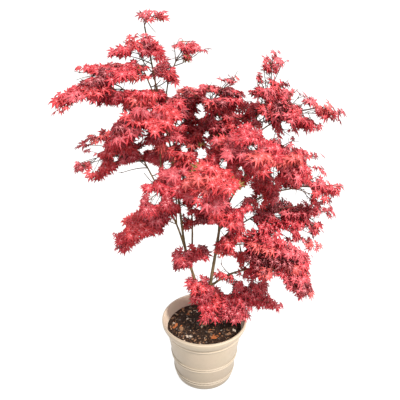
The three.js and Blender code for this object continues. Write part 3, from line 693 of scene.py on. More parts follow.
# rings of points round a line, each with as many sides and turned as little as can be
def tubeRings(points, radii, sides):
    points = np.array([tuple(p) for p in points])
    ways = np.gradient(points, axis=0)
    ways /= np.linalg.norm(ways, axis=1)[:, None]
    side = np.cross(ways[0], (0, 1, 0) if abs(ways[0][1]) < steep else (1, 0, 0))
    turns = np.linspace(0, 2 * math.pi, sides, endpoint=False)
    rings = []
    for point, way, radius in zip(points, ways, radii):
        side = side - way * side.dot(way)
        side /= np.linalg.norm(side)
        third = np.cross(way, side)
        spokes = np.outer(np.cos(turns), side) + np.outer(np.sin(turns), third)
        rings.append(point + spokes * np.reshape(radius, (-1, 1)))
    return np.array(rings)


def capped(rings):
    rows, sides = rings.shape[:2]
    corners = np.concatenate([rings.reshape(-1, 3), rings[:1].mean(1), rings[-1:].mean(1)])
    k = np.arange(sides)
    foot, tip = rows * sides, rows * sides + 1
    ends = [np.stack([np.full(sides, foot), (k + 1) % sides, k], 1),
            np.stack([np.full(sides, tip), k + foot - sides, (k + 1) % sides + foot - sides], 1)]
    return corners, np.concatenate([ringFaces(rows, sides), *ends])


# where the noise of the bark is read, for each point round each ring of a limb
def barkSpots(sides, wide, lengths):
    turns = np.linspace(0, 2 * math.pi, sides, endpoint=False)
    return np.stack(np.broadcast_arrays(np.cos(turns) * wide, np.sin(turns) * wide, lengths), -1)


# long ridges in the bark, knuckles at old nodes and a collar at the foot
def barkRadii(limb, index, sides):
    draw = makeRandom(wood["firstSeed"] + index)
    count = len(limb.points)
    along = np.linspace(0, limb.length, count)
    shares = along / limb.length
    radii = limb.radii[0] + (limb.radii[1] - limb.radii[0]) * shares
    place = between(wood["between"], draw())
    swelling, reach = wood["knuckle"]
    while place < limb.length:
        radii = radii * (1 + swelling * np.exp(-((along - place) / reach) ** 2))
        place += between(wood["between"], draw())
    if index > len(stems):
        swelling, reach = wood["collar"]
        radii = radii * (1 + swelling * np.exp(-(along / reach) ** 2))
    spots = barkSpots(sides, wood["barkRound"], along[:, None] / wood["barkLength"] + index * wood["apart"])
    (coarse, first), (fine, second) = wood["coarse"], wood["fine"]
    relief = roughness(spots, wood["barkSize"], first) * coarse
    relief = relief + roughness(spots * wood["finer"], wood["barkSize"], second) * fine
    return radii[:, None] * (1 + wood["ridges"] * relief)


def trunkRadii(limb):
    t = trunk
    heights = np.array([p.z for p in limb.points]) - limb.points[0].z
    turns = np.linspace(0, 2 * math.pi, t["sides"], endpoint=False)
    ribbed = 1 + np.outer(1 - heights / heights[-1], t["rib"] * np.cos(t["roots"] * turns + t["turn"]))
    spots = barkSpots(t["sides"], wood["trunkRound"], heights[:, None] / wood["barkLength"])
    relief = 1 + wood["ridges"] * roughness(spots, wood["barkSize"], wood["trunkSeed"])
    return (t["radius"] + t["flare"] * np.exp(-heights / t["flareHeight"]))[:, None] * ribbed * relief


def makeWood(limbs):
    pile = Pile()
    for index, (name, limb) in enumerate(limbs.items()):
        sides = trunk["sides"] if name == "trunk" else wood["sides"]
        radii = trunkRadii(limb) if name == "trunk" else barkRadii(limb, index, sides)
        pile.add(*capped(tubeRings(limb.points, radii, sides)))
    noise = wood["noise"]
    look = Finish("mapleBark", specular=wood["specular"])
    streaks = look.noise(*noise["streaks"])
    patches = look.ramp(look.noise(*noise["patches"]), wood["patches"])
    cracks = look.ramp(streaks, wood["cracks"])
    colour = look.mix(cracks, wood["dark"], patches)
    material = look.finish(colour, (streaks, *wood["gloss"]), look.noise(*noise["relief"]), *wood["relief"])
    return pile.make("bark_limbs", [material], "bark", list(limbs))


# a mass of leaves: its zone, its limb, the reach of its stem, and how wide and thick it is; "height" and
# "side" tell where on the limb a mass starts that isn't at the limb's tip
def mass(name, zone, limb, reach, width, thick, **more):
    return {"name": name, "zone": zone, "limb": limb, "reach": reach, "width": width, "thick": thick, **more}


masses = [
    mass("leaves_crest", "top", "stem_left", (0.05, 0.01, 0.035), 0.15, 0.12, full=0.4, bare=0.3),
    mass("leaves_peak", "top", "stem_left", (-0.05, -0.07, 0.085), 0.24, 0.17, height=1.44,
         side=(-0.7, -0.5, 0.5), bare=0.4),
    mass("leaves_peak_right", "top", "stem_left", (0.075, 0.02, 0.05), 0.17, 0.14, height=1.385,
         side=(0.9, 0.2, 0.3)),
    mass("leaves_tier_top", "top", "bough_tier_top", (-0.22, -0.04, -0.02), 0.26, 0.12),
    mass("leaves_tier_left", "top", "bough_tier_left", (-0.21, -0.05, -0.045), 0.23, 0.12, full=0.8),
    mass("leaves_tier_back", "top", "bough_tier_back", (-0.17, 0.04, -0.01), 0.23, 0.15),
    mass("leaves_top_spray", "top", "bough_top_spray", (0.045, 0.03, 0.06), 0.2, 0.13, full=0.55,
         bare=0.3),
    mass("leaves_top_back", "back", "bough_top_back", (0.09, 0.11, 0.03), 0.2, 0.13),
    mass("leaves_upper_left", "left", "bough_upper_left", (-0.17, -0.09, -0.01), 0.26, 0.2),
    mass("leaves_left", "left", "bough_left", (-0.23, -0.02, -0.045), 0.24, 0.2, full=0.85),
    mass("leaves_low_left", "left", "bough_low_left", (-0.19, -0.06, -0.14), 0.22, 0.19),
    mass("leaves_front_left", "left", "bough_front_left", (-0.13, -0.19, -0.03), 0.25, 0.19),
    mass("leaves_centre_back", "back", "bough_centre_back", (-0.1, 0.15, 0.04), 0.24, 0.18),
    mass("leaves_back_left", "back", "bough_back_left", (-0.14, 0.2, 0.03), 0.25, 0.16),
    mass("leaves_bottom_right", "low", "stem_right", (0.28, 0.03, -0.04), 0.23, 0.21, height=0.42,
         side=(0.9, 0.1, 0.3), bare=0.2),
    mass("leaves_right_tail", "low", "bough_right_tail", (0.07, -0.04, -0.11), 0.17, 0.16),
    mass("leaves_right_low", "low", "bough_right_low", (0.22, -0.03, -0.05), 0.27, 0.26),
    mass("leaves_right_back", "low", "bough_right_back", (0.3, 0.07, -0.05), 0.26, 0.22, full=0.8),
    mass("leaves_right_spur", "right", "bough_right_spur", (0.13, 0.03, -0.03), 0.19, 0.15, full=0.6),
    mass("leaves_front_low", "middle", "stem_right", (-0.02, -0.2, 0.09), 0.28, 0.16, height=0.83,
         side=(-0.1, -0.9, 0.4), bare=0.3),
    mass("leaves_back_mid", "back", "bough_back_mid", (0, 0.24, 0.06), 0.28, 0.17),
    mass("leaves_right_upper", "right", "bough_right_upper", (0.15, -0.04, -0.05), 0.26, 0.28),
    mass("leaves_front", "middle", "bough_front", (-0.01, -0.22, 0), 0.27, 0.18),
    mass("leaves_front_right", "middle", "bough_front_right", (0.06, -0.21, 0.03), 0.27, 0.22),
    mass("leaves_back", "back", "bough_back", (0.02, 0.24, 0.08), 0.28, 0.19),
    mass("leaves_centre_top", "middle", "bough_centre_top", (0.1, 0.04, 0.075), 0.26, 0.15),
    mass("leaves_right_far", "right", "bough_right_far", (0.165, -0.03, 0.015), 0.21, 0.17, full=0.65),
    mass("leaves_back_right", "right", "bough_back_right", (0.21, 0.14, 0.045), 0.25, 0.15),
    mass("leaves_right_crest", "right", "stem_right", (0.01, 0.02, 0.145), 0.16, 0.15, full=0.75),
    mass("spray_left", "low", "stem_left", (-0.03, -0.05, 0.045), 0.18, 0.14, height=0.625,
         side=(-0.6, -0.8, 0), full=0.7, bare=0.1),
    mass("spray_trunk", "low", "trunk", (-0.045, -0.05, 0.15), 0.18, 0.14, height=0.35,
         side=(-0.3, -0.9, 0.2), full=0.7, bare=0.5),
    mass("spray_right", "low", "stem_right", (0.075, -0.03, 0.05), 0.15, 0.12, height=0.69,
         side=(0.9, -0.4, 0), full=0.7),
]
twig = {
    "stem": (0.0024, 0.0013),     # radius at the foot and at the end
    "side": (0.0013, 0.0008),
    "shoot": (0.0008, 0.0005),
    "spacing": 0.021,             # between two nodes of a mass's stem
    "girth": 0.25,                # share of a mass's width and thickness that counts as more stem
    "sideSpacing": 0.019,
    "shootSpacing": 0.0145,
    "bare": 0.2,
    "bend": 0.35,
    "step": 68,                   # degrees that each pair of side twigs is turned from the last
    "spread": (98, 34),           # degrees between a side twig and the stem, at its foot and at its end
    "shootSpread": 52,
    "reach": (0.45, 1.2),         # length of a side twig, as a share of the room it has
    "shootReach": (0.4, 0.7),     # and of a shoot, as a share of what is left of the side twig
    "least": 0.018,
    "sag": 0.08,                  # how far a twig bends down by its end, as a share of its length
    "ahead": (0.92, 0.12),        # how far its end lies along its heading, and along what it grows from
    "straight": 0.55,             # share of its length that it heads straight
    "stemRuns": (14, 5),          # runs and sides that each kind of twig is drawn with
    "sideRuns": (6, 4),
    "shootRuns": (3, 3),
    "first": 0.2,                 # place of the first pair of side twigs, as a share of the spacing
    "sideFirst": 0.75,
    "shootFirst": 0.8,
    "stray": (-14, 14),           # degrees that a pair of side twigs strays, and a side twig's spread
    "strayOut": (-10, 10),
    "tilt": (-0.35, 0.5),
    "ease": (0.5, 0.6),           # how far leaves lean ahead on a side twig, and on a shoot
    "shades": ((0.35, (0.085, 0.035, 0.022)), (0.65, (0.19, 0.105, 0.062))),
    "finish": (0.6, 0.35),        # roughness and specular
    "noise": (70, 5),
    "grain": (600, 4),
    "relief": (0.0004, 0.5),
    "edge": 1.15,                 # how far out of its mass's space a twig may end
}
# short leafy shoots straight from the boughs and from the upper stems
shoots = {
    "spacing": 0.048,             # along a limb
    "turn": 137.5,                # degrees round the limb from one to the next
    "limbTurn": 90,               # and more for each that was found before
    "ahead": 0.4,                 # how far a shoot leans along its limb
    "from": {"stem_left": 0.50, "stem_right": 0.52},   # the share of a stem that is below its first shoot
    "until": {"stem_left": 0.84},
    "fromBough": 0.38,            # share of a bough below its first shoot
    "length": (0.055, 0.105),
    "rise": (0.0, 0.6),
    "width": 0.115,
    "thick": 0.10,
    "bare": 0.25,
}
sprig = {
    "rise": 0.3,
    "wider": (0.85, 0.7),         # how much wider and thicker its space is, in reaches of a leaf
    "leafy": 0.7,                 # length of its leafy end, in widths
    "bare": 0.15,
    "full": 0.75,
}
# thin twigs with few leaves at the crown's edge and in its thin places: for each limb, how far along it one
# leaves, the column and row it reaches in the view, how wide its leaves spread, and how far it comes forward
sprigs = {
    "stem_left": [(0.96, 142, 36, 0.03), (0.96, 156, 50, 0.09), (0.92, 118, 54, 0.04),
                  (0.94, 123, 42, 0.01), (1.0, 143, 15, 0.02), (0.25, 176, 270, 0.03),
                  (0.27, 201, 247, 0.05), (0.24, 201, 256, 0.06)],
    "bough_tier_top": [(0.95, 85, 69, 0.06), (1.0, 79, 73, 0.03), (0.9, 100, 71, 0.06),
                       (1.0, 96, 76, 0.03)],
    "bough_tier_left": [(1.0, 104, 103, 0.05), (1.0, 82, 98, 0.05)],
    "bough_upper_left": [(1.0, 96, 138, 0.05), (0.95, 112, 130, 0.06), (0.8, 134, 131, 0.05)],
    "bough_left": [(1.0, 87, 145, 0.04), (1.0, 99, 175, 0.08), (0.97, 104, 165, 0.07),
                   (0.95, 98, 156, 0.04), (0.9, 121, 173, 0.03), (0.95, 116, 164, 0.06),
                   (0.9, 135, 158, 0.06), (1.0, 92, 179, 0.04), (1.0, 80, 167, 0.03)],
    "bough_low_left": [(1.0, 121, 249, 0.045), (0.95, 147, 238, 0.07), (0.9, 160, 228, 0.03),
                       (1.0, 117, 237, 0.05), (1.0, 128, 247, 0.05)],
    "bough_top_spray": [(1.0, 174, 42, 0.06), (1.0, 190, 50, 0.06), (1.0, 187, 58, 0.04)],
    "bough_centre_top": [(1.0, 230, 78, 0.045), (1.0, 236, 76, 0.03), (1.0, 209, 85, 0.04),
                         (0.9, 190, 92, 0.03)],
    "bough_centre_back": [(1.0, 180, 146, 0.06), (1.0, 196, 149, 0.06), (0.9, 206, 140, 0.06)],
    "bough_top_back": [(1.0, 193, 108, 0.05), (1.0, 186, 118, 0.06), (1.0, 200, 125, 0.07)],
    "bough_back_right": [(0.9, 240, 101, 0.07), (0.9, 247, 120, 0.06), (0.6, 219, 118, 0.05)],
    "stem_right": [(1.0, 256, 87, 0.05), (1.0, 268, 81, 0.06), (1.0, 259, 76, 0.03), (1.0, 264, 69, 0.04),
                   (1.0, 283, 62, 0.04), (1.0, 284, 85, 0.03), (0.07, 196, 281, 0.08),
                   (0.08, 208, 284, 0.05), (0.15, 224, 273, 0.01), (0.13, 226, 279, 0.06),
                   (0.37, 224, 239, 0.05), (0.36, 234, 235, 0.06), (0.36, 228, 254, 0.06),
                   (0.06, 207, 315, 0.06, 0.06), (0.06, 216, 317, 0.06, 0.06), (0.06, 241, 314, 0.07),
                   (0.06, 276, 304, 0.04), (0.06, 232, 302, 0.07)],
    "bough_right_far": [(0.9, 292, 93, 0.05), (0.95, 308, 101, 0.07), (1.0, 314, 108, 0.04),
                        (1.0, 317, 125, 0.05), (0.95, 304, 127, 0.08), (1.0, 328, 107, 0.04),
                        (0.95, 299, 97, 0.05), (0.8, 276, 129, 0.05), (0.8, 285, 133, 0.03)],
    "bough_right_upper": [(1.0, 275, 138, 0.07), (1.0, 294, 140, 0.04), (1.0, 311, 157, 0.05),
                          (1.0, 314, 168, 0.04), (1.0, 272, 174, 0.06), (0.9, 305, 163, 0.06)],
    "bough_right_spur": [(1.0, 319, 176, 0.02), (1.0, 344, 187, 0.02), (1.0, 332, 192, 0.03),
                         (1.0, 312, 203, 0.05), (0.9, 310, 194, 0.04), (0.9, 258, 200, 0.07),
                         (0.8, 250, 208, 0.07)],
    "bough_right_back": [(1.0, 330, 212, 0.045), (1.0, 321, 204, 0.04), (1.0, 316, 213, 0.04),
                         (1.0, 314, 226, 0.05), (1.0, 320, 232, 0.035), (1.0, 313, 235, 0.03),
                         (1.0, 302, 219, 0.07), (1.0, 307, 243, 0.06), (1.0, 317, 248, 0.045),
                         (1.0, 296, 236, 0.05), (0.9, 292, 241, 0.03), (0.9, 258, 217, 0.06),
                         (0.9, 258, 226, 0.06)],
    "bough_right_low": [(0.9, 241, 266, 0.07), (0.9, 245, 278, 0.07), (1.0, 301, 258, 0.07)],
    "bough_right_tail": [(1.0, 304, 268, 0.07), (1.0, 306, 281, 0.07), (1.0, 308, 292, 0.045),
                         (0.95, 287, 284, 0.06), (0.4, 240, 283, 0.06), (0.5, 262, 285, 0.07)],
}
leaf = {
    "length": (0.026, 0.039),     # from the palm to the tip of the middle lobe
    "stalk": (0.010, 0.024),
    "stalkRadius": 0.0005,
    "stalkFoot": 1.3,             # how much thicker a stalk is at its foot
    "lift": 0.35,                 # how steeply a stalk rises
    "faces": (0.62, 0.30, 0.45),  # how far a blade faces up, away from the crown's middle and to the light
    "light": Vector((0.3, -0.95, 0)),
    "middle": 0.16,               # radius within which a leaf faces outwards less
    "sag": (10, 75),              # degrees that the blade would point below the level
    "turn": (-60, 60),
    "roll": (-38, 38),
    "shares": (1, 0.8, 0.62, 0.45),  # a leaf that would cover a gap is made smaller, or left out
    "over": 3,                    # corners of a leaf that may show in a gap
    "bound": 1.29,                # how far out of its mass's space a tip may be
    "margin": 0.026,              # and out of the whole crown
    "reach": 0.049,               # how far a space goes beyond its stem
    "clear": 0.003,               # from the nearest limb's bark
    "potClear": 0.006,            # from the planter's rim, and over the rim and the soil
    "overRim": 0.004,
    "overSoil": 0.014,
    "upright": 0.05,              # a stalk more upright than this turns its leaf any way round
    "full": 6.28,                 # in radians
    "shapes": 8,                  # kinds of outline, drawn from this seed
    "seed": 900,
    "specular": 0.3,
    "lobes": ((-134, 0.36), (-92, 0.68), (-46, 0.92), (0, 1.0), (46, 0.92), (92, 0.68), (134, 0.36)),
    "turns": 5,                   # degrees that a lobe may be turned, and its size
    "grows": (0.9, 1.08),
    "bow": 6,                     # degrees that its tip may bend aside
    "notch": 0.29,                # how far out two lobes part
    "heel": 25,                   # degrees from the last lobe to the leaf's open side
    "waist": 0.36,                # how far out a lobe is widest, and half its width there
    "half": 0.118,
    "narrow": 0.45,               # share of that width that a small lobe keeps
    "crease": 0.035,              # how high a lobe's edges stand over its middle
    "rib": (0.022, 0.012),        # half width of a lobe's rib at the palm, and how high it stands
    "ribShare": 0.85,             # how far along its lobe a rib runs
    "droop": (0.08, 0.40),
    "curl": (-0.12, 0.12),
}
# the colours that sprays come in, and each colour's share of the sprays
tints = {
    "crimson": ((0.52, 0.030, 0.044), 0.30),
    "scarlet": ((0.58, 0.042, 0.048), 0.20),
    "rose": ((0.60, 0.085, 0.105), 0.20),
    "wine": ((0.34, 0.018, 0.030), 0.16),
    "maroon": ((0.18, 0.012, 0.018), 0.06),
    "coral": ((0.64, 0.095, 0.085), 0.075),
    "olive": ((0.23, 0.17, 0.035), 0.005),
}
# a pale rib colour: the midribs are partly paler in their own right and partly a painted highlight along each
# midrib
ribColour = (0.78, 0.27, 0.29)
# gaps that show sky from the front: left, right, top and bottom of each in the view's pixels
openings = {
    "round the top": [
        (118, 178, 22, 33), (66, 106, 38, 65), (58, 76, 76, 88), (163, 171, 36, 57), (170, 184, 47, 62),
        (179, 204, 62, 87), (131, 140, 49, 60), (142, 155, 55, 60), (146, 157, 60, 68), (136, 143, 71, 76),
        (145, 151, 70, 76), (113, 172, 82, 90), (164, 177, 84, 98), (92, 99, 73, 78), (66, 92, 72, 80),
        (144, 172, 79, 88), (196, 212, 36, 47), (191, 206, 51, 64), (70, 98, 101, 113), (206, 220, 66, 76),
        (175, 200, 62, 80), (219, 228, 81, 88), (165, 182, 3, 12), (148, 163, 2, 10), (124, 137, 8, 26),
        (178, 203, 76, 87), (111, 126, 83, 91), (150, 168, 77, 84), (232, 243, 82, 90), (88, 112, 57, 64),
        (170, 198, 31, 38), (159, 166, 34, 44), (168, 182, 60, 67), (38, 50, 98, 113), (56, 75, 62, 75),
        (112, 130, 59, 63), (138, 150, 59, 66),
    ],
    "on the left": [
        (58, 118, 105, 131), (91, 105, 143, 153), (92, 103, 157, 166), (112, 118, 155, 162),
        (118, 126, 164, 171), (120, 161, 160, 186), (163, 171, 160, 170), (95, 137, 172, 219),
        (100, 126, 221, 231), (148, 162, 191, 205), (138, 182, 235, 252), (164, 182, 219, 240),
        (100, 121, 104, 124), (70, 94, 153, 162), (91, 99, 158, 172), (126, 141, 187, 214),
        (108, 127, 223, 233), (102, 117, 237, 251), (160, 172, 246, 272), (178, 190, 268, 276),
        (190, 210, 260, 275), (180, 191, 286, 300), (56, 75, 158, 180), (184, 200, 303, 323),
        (131, 142, 244, 256), (109, 120, 171, 181), (70, 88, 173, 187), (105, 113, 124, 131),
        (100, 111, 228, 242), (160, 174, 262, 280),
    ],
    "in the middle": [
        (147, 153, 106, 113), (131, 137, 123, 128), (141, 148, 127, 134), (162, 169, 130, 136),
        (165, 173, 140, 147), (181, 187, 145, 153), (143, 157, 145, 150), (138, 144, 148, 153),
        (172, 181, 119, 127), (204, 220, 92, 99), (195, 205, 103, 108), (196, 205, 112, 118),
        (198, 206, 147, 159), (218, 228, 158, 170), (215, 222, 115, 121), (203, 210, 131, 137),
        (179, 187, 175, 181), (196, 204, 192, 198), (171, 184, 196, 204), (181, 188, 204, 214),
        (175, 181, 212, 222), (190, 196, 213, 221), (186, 224, 223, 246), (193, 212, 260, 275),
        (237, 244, 165, 171), (228, 243, 197, 209), (241, 253, 185, 196), (208, 222, 223, 238),
        (211, 218, 252, 270), (217, 229, 225, 236), (231, 244, 190, 204),
    ],
    "on the right": [
        (240, 257, 70, 91), (238, 257, 54, 86), (281, 306, 62, 81), (262, 270, 72, 78), (262, 271, 82, 88),
        (251, 257, 96, 103), (259, 267, 98, 104), (257, 266, 114, 121), (246, 259, 142, 151),
        (262, 273, 122, 141), (280, 290, 121, 129), (281, 289, 136, 146), (288, 296, 132, 136),
        (290, 302, 94, 105), (301, 316, 104, 118), (298, 345, 131, 154), (306, 316, 159, 166),
        (311, 317, 169, 178), (268, 278, 166, 175), (257, 263, 193, 204), (277, 300, 188, 198),
        (298, 312, 184, 200), (252, 263, 50, 73), (279, 300, 50, 60), (289, 303, 64, 81),
        (320, 346, 123, 134), (317, 326, 97, 106), (314, 320, 118, 124), (331, 346, 97, 108),
        (258, 268, 47, 56), (277, 290, 66, 80),
    ],
    "low on the right": [
        (243, 254, 210, 231), (274, 280, 212, 218), (284, 293, 231, 237), (291, 301, 242, 246),
        (299, 311, 228, 238), (308, 322, 217, 222), (314, 324, 235, 242), (233, 247, 242, 252),
        (217, 240, 255, 275), (244, 250, 262, 268), (213, 221, 280, 287), (221, 233, 283, 295),
        (232, 243, 276, 281), (244, 249, 281, 287), (253, 260, 278, 283), (268, 286, 277, 302),
        (312, 346, 255, 290), (282, 299, 291, 308), (268, 284, 276, 290), (316, 330, 285, 303),
        (252, 280, 309, 322), (300, 322, 299, 312), (310, 318, 256, 292), (320, 327, 212, 221),
    ],
}
gapBoxes = np.array([box for boxes in openings.values() for box in boxes], float)
gapMiddles = (gapBoxes[:, ::2] + gapBoxes[:, 1::2]) / 2
gapShare = 0.9   # a gap is an oval a little smaller than its box
gapHalves = (gapBoxes[:, 1::2] - gapBoxes[:, ::2]) / 2 * gapShare


# which points lie in a gap as seen from the front
def openSky(points):
    away = np.asarray(points) - camera["eye"]
    tilt = math.radians(camera["tilt"])
    depth = away[:, 1] * math.cos(tilt) - away[:, 2] * math.sin(tilt)
    rise = away[:, 1] * math.sin(tilt) + away[:, 2] * math.cos(tilt)
    focal = camera["view"] * camera["lens"] / camera["sensor"]
    seen = camera["view"] / 2 + focal * np.stack([away[:, 0], -rise], 1) / depth[:, None]
    inside = (((seen[:, None] - gapMiddles) / gapHalves) ** 2).sum(2) < 1
    return inside.any(1)


# the space a mass keeps to: an ellipsoid round its reach
class Space:
    def __init__(self, foot, reach, width, thick):
        self.centre = foot + reach * 0.5
        self.along = reach.normalized()
        level = Vector((0, 1, 0)) if abs(self.along.z) > steep else up
        self.across = level.cross(self.along).normalized()
        self.over = self.along.cross(self.across)
        self.half = reach.length / 2 + leaf["reach"], width / 2, thick / 2

    def scaled(self, way):
        axes = self.along, self.across, self.over
        return Vector([way.dot(axis) / half for axis, half in zip(axes, self.half)])

    def depth(self, point):
        return self.scaled(point - self.centre).length

    # how far the surface of the space lies from a point along a way
    def room(self, point, way):
        start, step = self.scaled(point - self.centre), self.scaled(way)
        a, b, c = step.length_squared, start.dot(step), start.length_squared - 1
        return (math.sqrt(b * b - a * c) - b) / a if b * b > a * c else 0


# whether a point lies further out than the solids reach, by more than a margin
def tooFar(point):
    margin = leaf["margin"]
    return any(not low - margin <= at <= high + margin for at, low, high in zip(point, cadLow, cadHigh))


def insidePot(point):
    radius = math.hypot(point.x, point.y)
    if radius > planter["rim"] + leaf["potClear"]:
        return False
    inner = planter["rim"] - planter["lip"] - leaf["potClear"]
    rim, ground = planter["height"] + leaf["overRim"], soil["level"] + leaf["overSoil"]
    return point.z < (rim if radius > inner else ground)


# leaves of one kind of outline: corners along the middle lobe, across and up, and faces
def leafShape(draw):
    droop = between(leaf["droop"], draw())
    curl = between(leaf["curl"], draw())
    corners, faces, ribs = [(0, 0, 0)], [], []

    def corner(radius, degrees, lift=0, aside=0):
        angle = math.radians(degrees)
        x, y = radius * math.cos(angle), radius * math.sin(angle)
        z = lift - droop * radius * radius + curl * x * y
        corners.append((x - aside * math.sin(angle), y + aside * math.cos(angle), z))
        return len(corners) - 1

    turn, grow, bow = leaf["turns"], leaf["grows"], leaf["bow"]
    lobes = [(angle + between((-turn, turn), draw()), size * between(grow, draw()))
             for angle, size in leaf["lobes"]]
    deep, halfGap = leaf["notch"], leaf["heel"]
    notch = corner(deep / 2, lobes[0][0] - halfGap)
    half, high = leaf["rib"]
    for i, (angle, size) in enumerate(lobes):
        last = i + 1 == len(lobes)
        after = angle + 2 * halfGap if last else lobes[i + 1][0]
        waist = deep + (size - deep) * leaf["waist"]
        width = math.degrees(leaf["half"] * (leaf["narrow"] + (1 - leaf["narrow"]) * size) / waist)
        low = corner(waist, angle - width, leaf["crease"])
        tip = corner(size, angle + between((-bow, bow), draw()))
        side = corner(waist, angle + width, leaf["crease"])
        beyond = corner(deep / 2 if last else deep, (angle + after) / 2)
        faces += [(0, notch, low), (0, low, tip), (0, tip, side), (0, side, beyond)]
        ribs.append((corner(0, angle, high, -half), corner(size * leaf["ribShare"], angle, high),
                     corner(0, angle, high, half)))
        notch = beyond
    return np.array(corners), np.array(faces), np.array(ribs)


# everything that grows from one mass's stem: twigs at once, and leaves gathered for later
class Spray:
    def __init__(self, row, index, limbs, bark, twigs, leaves):
        self.draw = makeRandom(index + 1)
        self.bark, self.twigs, self.leaves = bark, twigs, leaves
        limb = limbs[row["limb"]]
        share = row["share"] if "share" in row else limb.shareAt(row["height"]) if "side" in row else 1
        heading = Vector(row["side"]).normalized() if "side" in row else limb.wayAt(1)
        reach = Vector(row["reach"])
        foot = limb.pointAt(share)
        self.space = Space(foot, reach, row["width"], row["thick"])
        self.density = row.get("full", 1)
        bend = foot + heading * reach.length * twig["bend"]
        line = self.curve(foot, bend, foot + reach, twig["stemRuns"][0])
        self.tube(line, twig["stem"], twig["stemRuns"][1])
        bare = row.get("bare", twig["bare"])
        girth = (row["width"] + row["thick"]) * twig["girth"]
        count = max(2, round((reach.length * (1 - bare) + girth) / twig["spacing"]))
        for i in range(count):
            place, way = self.onLine(line, bare + (1 - bare) * (i + twig["first"]) / count)
            lean = math.radians(i * twig["step"] + between(twig["stray"], self.draw()))
            sideways = self.space.across * math.cos(lean) + self.space.over * math.sin(lean)
            for hand in (1, -1):
                self.growSide(place, way, sideways * hand, between(twig["spread"], i / max(1, count - 1)))
        tint = self.newTint()
        self.growLeaf(line[-1], (line[-1] - line[-2]).normalized(), tint)

    def newTint(self):
        return pick([share for _, share in tints.values()], self.draw())

    def curve(self, start, bend, end, steps):
        return [start.lerp(bend, t).lerp(bend.lerp(end, t), t) for t in (i / steps for i in range(steps + 1))]

    def onLine(self, line, share):
        scaled = share * (len(line) - 1)
        index = min(int(scaled), len(line) - 2)
        return line[index].lerp(line[index + 1], scaled - index), (line[index + 1] - line[index]).normalized()

    def tube(self, line, radii, sides):
        self.twigs.add(*capped(tubeRings(line, np.linspace(*radii, len(line)), sides)))

    # a twig that leaves at an angle, bends back towards the way of what it grows from, and sags
    def growTwig(self, start, way, heading, length, radii, steps, sides):
        far, aside = twig["ahead"]
        end = start + heading * length * far + way * length * aside - up * twig["sag"] * length
        line = self.curve(start, start + heading * length * twig["straight"], end, steps)
        outside = self.space.depth(end) > twig["edge"] or tooFar(end) or openSky(np.array([end]))[0]
        if outside or any(insidePot(p) for p in line[1:]):
            return None
        self.tube(line, radii, sides)
        return line

    def growSide(self, start, way, sideways, spread):
        spread = math.radians(spread + between(twig["strayOut"], self.draw()))
        heading = way * math.cos(spread) + sideways * math.sin(spread)
        room = self.space.room(start, heading)
        length = room * between(twig["reach"], self.draw()) - leaf["length"][0] * 0.5
        tint = self.newTint()
        self.growLeaf(start, sideways, tint)
        if length < twig["least"]:
            return
        line = self.growTwig(start, way, heading, length, twig["side"], *twig["sideRuns"])
        if line is None:
            return
        count = max(1, round(length / twig["sideSpacing"]))
        for i in range(count):
            share = (i + twig["sideFirst"]) / count
            place, ahead = self.onLine(line, share)
            flat = ahead.cross(up).normalized() * (1 if i % 2 else -1)
            tilt = up * between(twig["tilt"], self.draw())
            left = length * (1 - share)
            for hand in (1, -1):
                if i % 2 == 0 and left * twig["shootReach"][0] > twig["least"]:
                    self.growShoot(place, ahead, flat * hand + tilt, left, tint)
                else:
                    self.growLeaf(place, flat * hand + ahead * twig["ease"][0], tint)
        self.growLeaf(line[-1], (line[-1] - line[-2]).normalized(), tint)

    def growShoot(self, start, way, sideways, left, tint):
        length = left * between(twig["shootReach"], self.draw())
        spread = math.radians(twig["shootSpread"])
        heading = way * math.cos(spread) + sideways.normalized() * math.sin(spread)
        line = self.growTwig(start, way, heading, length, twig["shoot"], *twig["shootRuns"])
        if line is None:
            return
        count = max(1, round(length / twig["shootSpacing"]))
        for i in range(count):
            place, ahead = self.onLine(line, (i + twig["shootFirst"]) / count)
            flat = ahead.cross(up).normalized()
            for hand in (1, -1):
                self.growLeaf(place, flat * hand + ahead * twig["ease"][1], tint)
        self.growLeaf(line[-1], (line[-1] - line[-2]).normalized(), tint)

    # a leaf on its stalk: the stalk rises level-ways and the blade hangs from its end
    def growLeaf(self, foot, heading, tint):
        draw = self.draw
        length, stalk = between(leaf["length"], draw()), between(leaf["stalk"], draw())
        sag, turn, roll = (math.radians(between(leaf[name], draw())) for name in ("sag", "turn", "roll"))
        shape, chance = int(draw() * leaf["shapes"]) % leaf["shapes"], draw()
        level = Vector((heading.x, heading.y, 0))
        if level.length < leaf["upright"]:
            level = Vector((math.cos(leaf["full"] * chance), math.sin(leaf["full"] * chance), 0))
        level = (Matrix.Rotation(turn, 3, "Z") @ level).normalized()
        palm = foot + (level + up * leaf["lift"]).normalized() * stalk
        outward = Vector((foot.x, foot.y, 0)) / max(leaf["middle"], math.hypot(foot.x, foot.y))
        rise, out, lit = leaf["faces"]
        normal = (up * rise + outward * out + leaf["light"] * lit).normalized()
        way = level * math.cos(sag) - up * math.sin(sag)
        way = (way - normal * way.dot(normal)).normalized()
        tip = palm + way * length
        if chance > self.density or self.space.depth(tip) > leaf["bound"] or tooFar(tip):
            return
        if any(insidePot(p) for p in (palm, tip, palm + way * length * 0.5)):
            return
        bark, index, distance = self.bark.find(palm)
        if distance < leaf["clear"] + self.leaves["barkRadii"][index]:
            return
        normal = Matrix.Rotation(roll, 3, way) @ normal
        self.leaves["all"].append((foot, palm, way, normal.cross(way), normal, length, shape, tint))


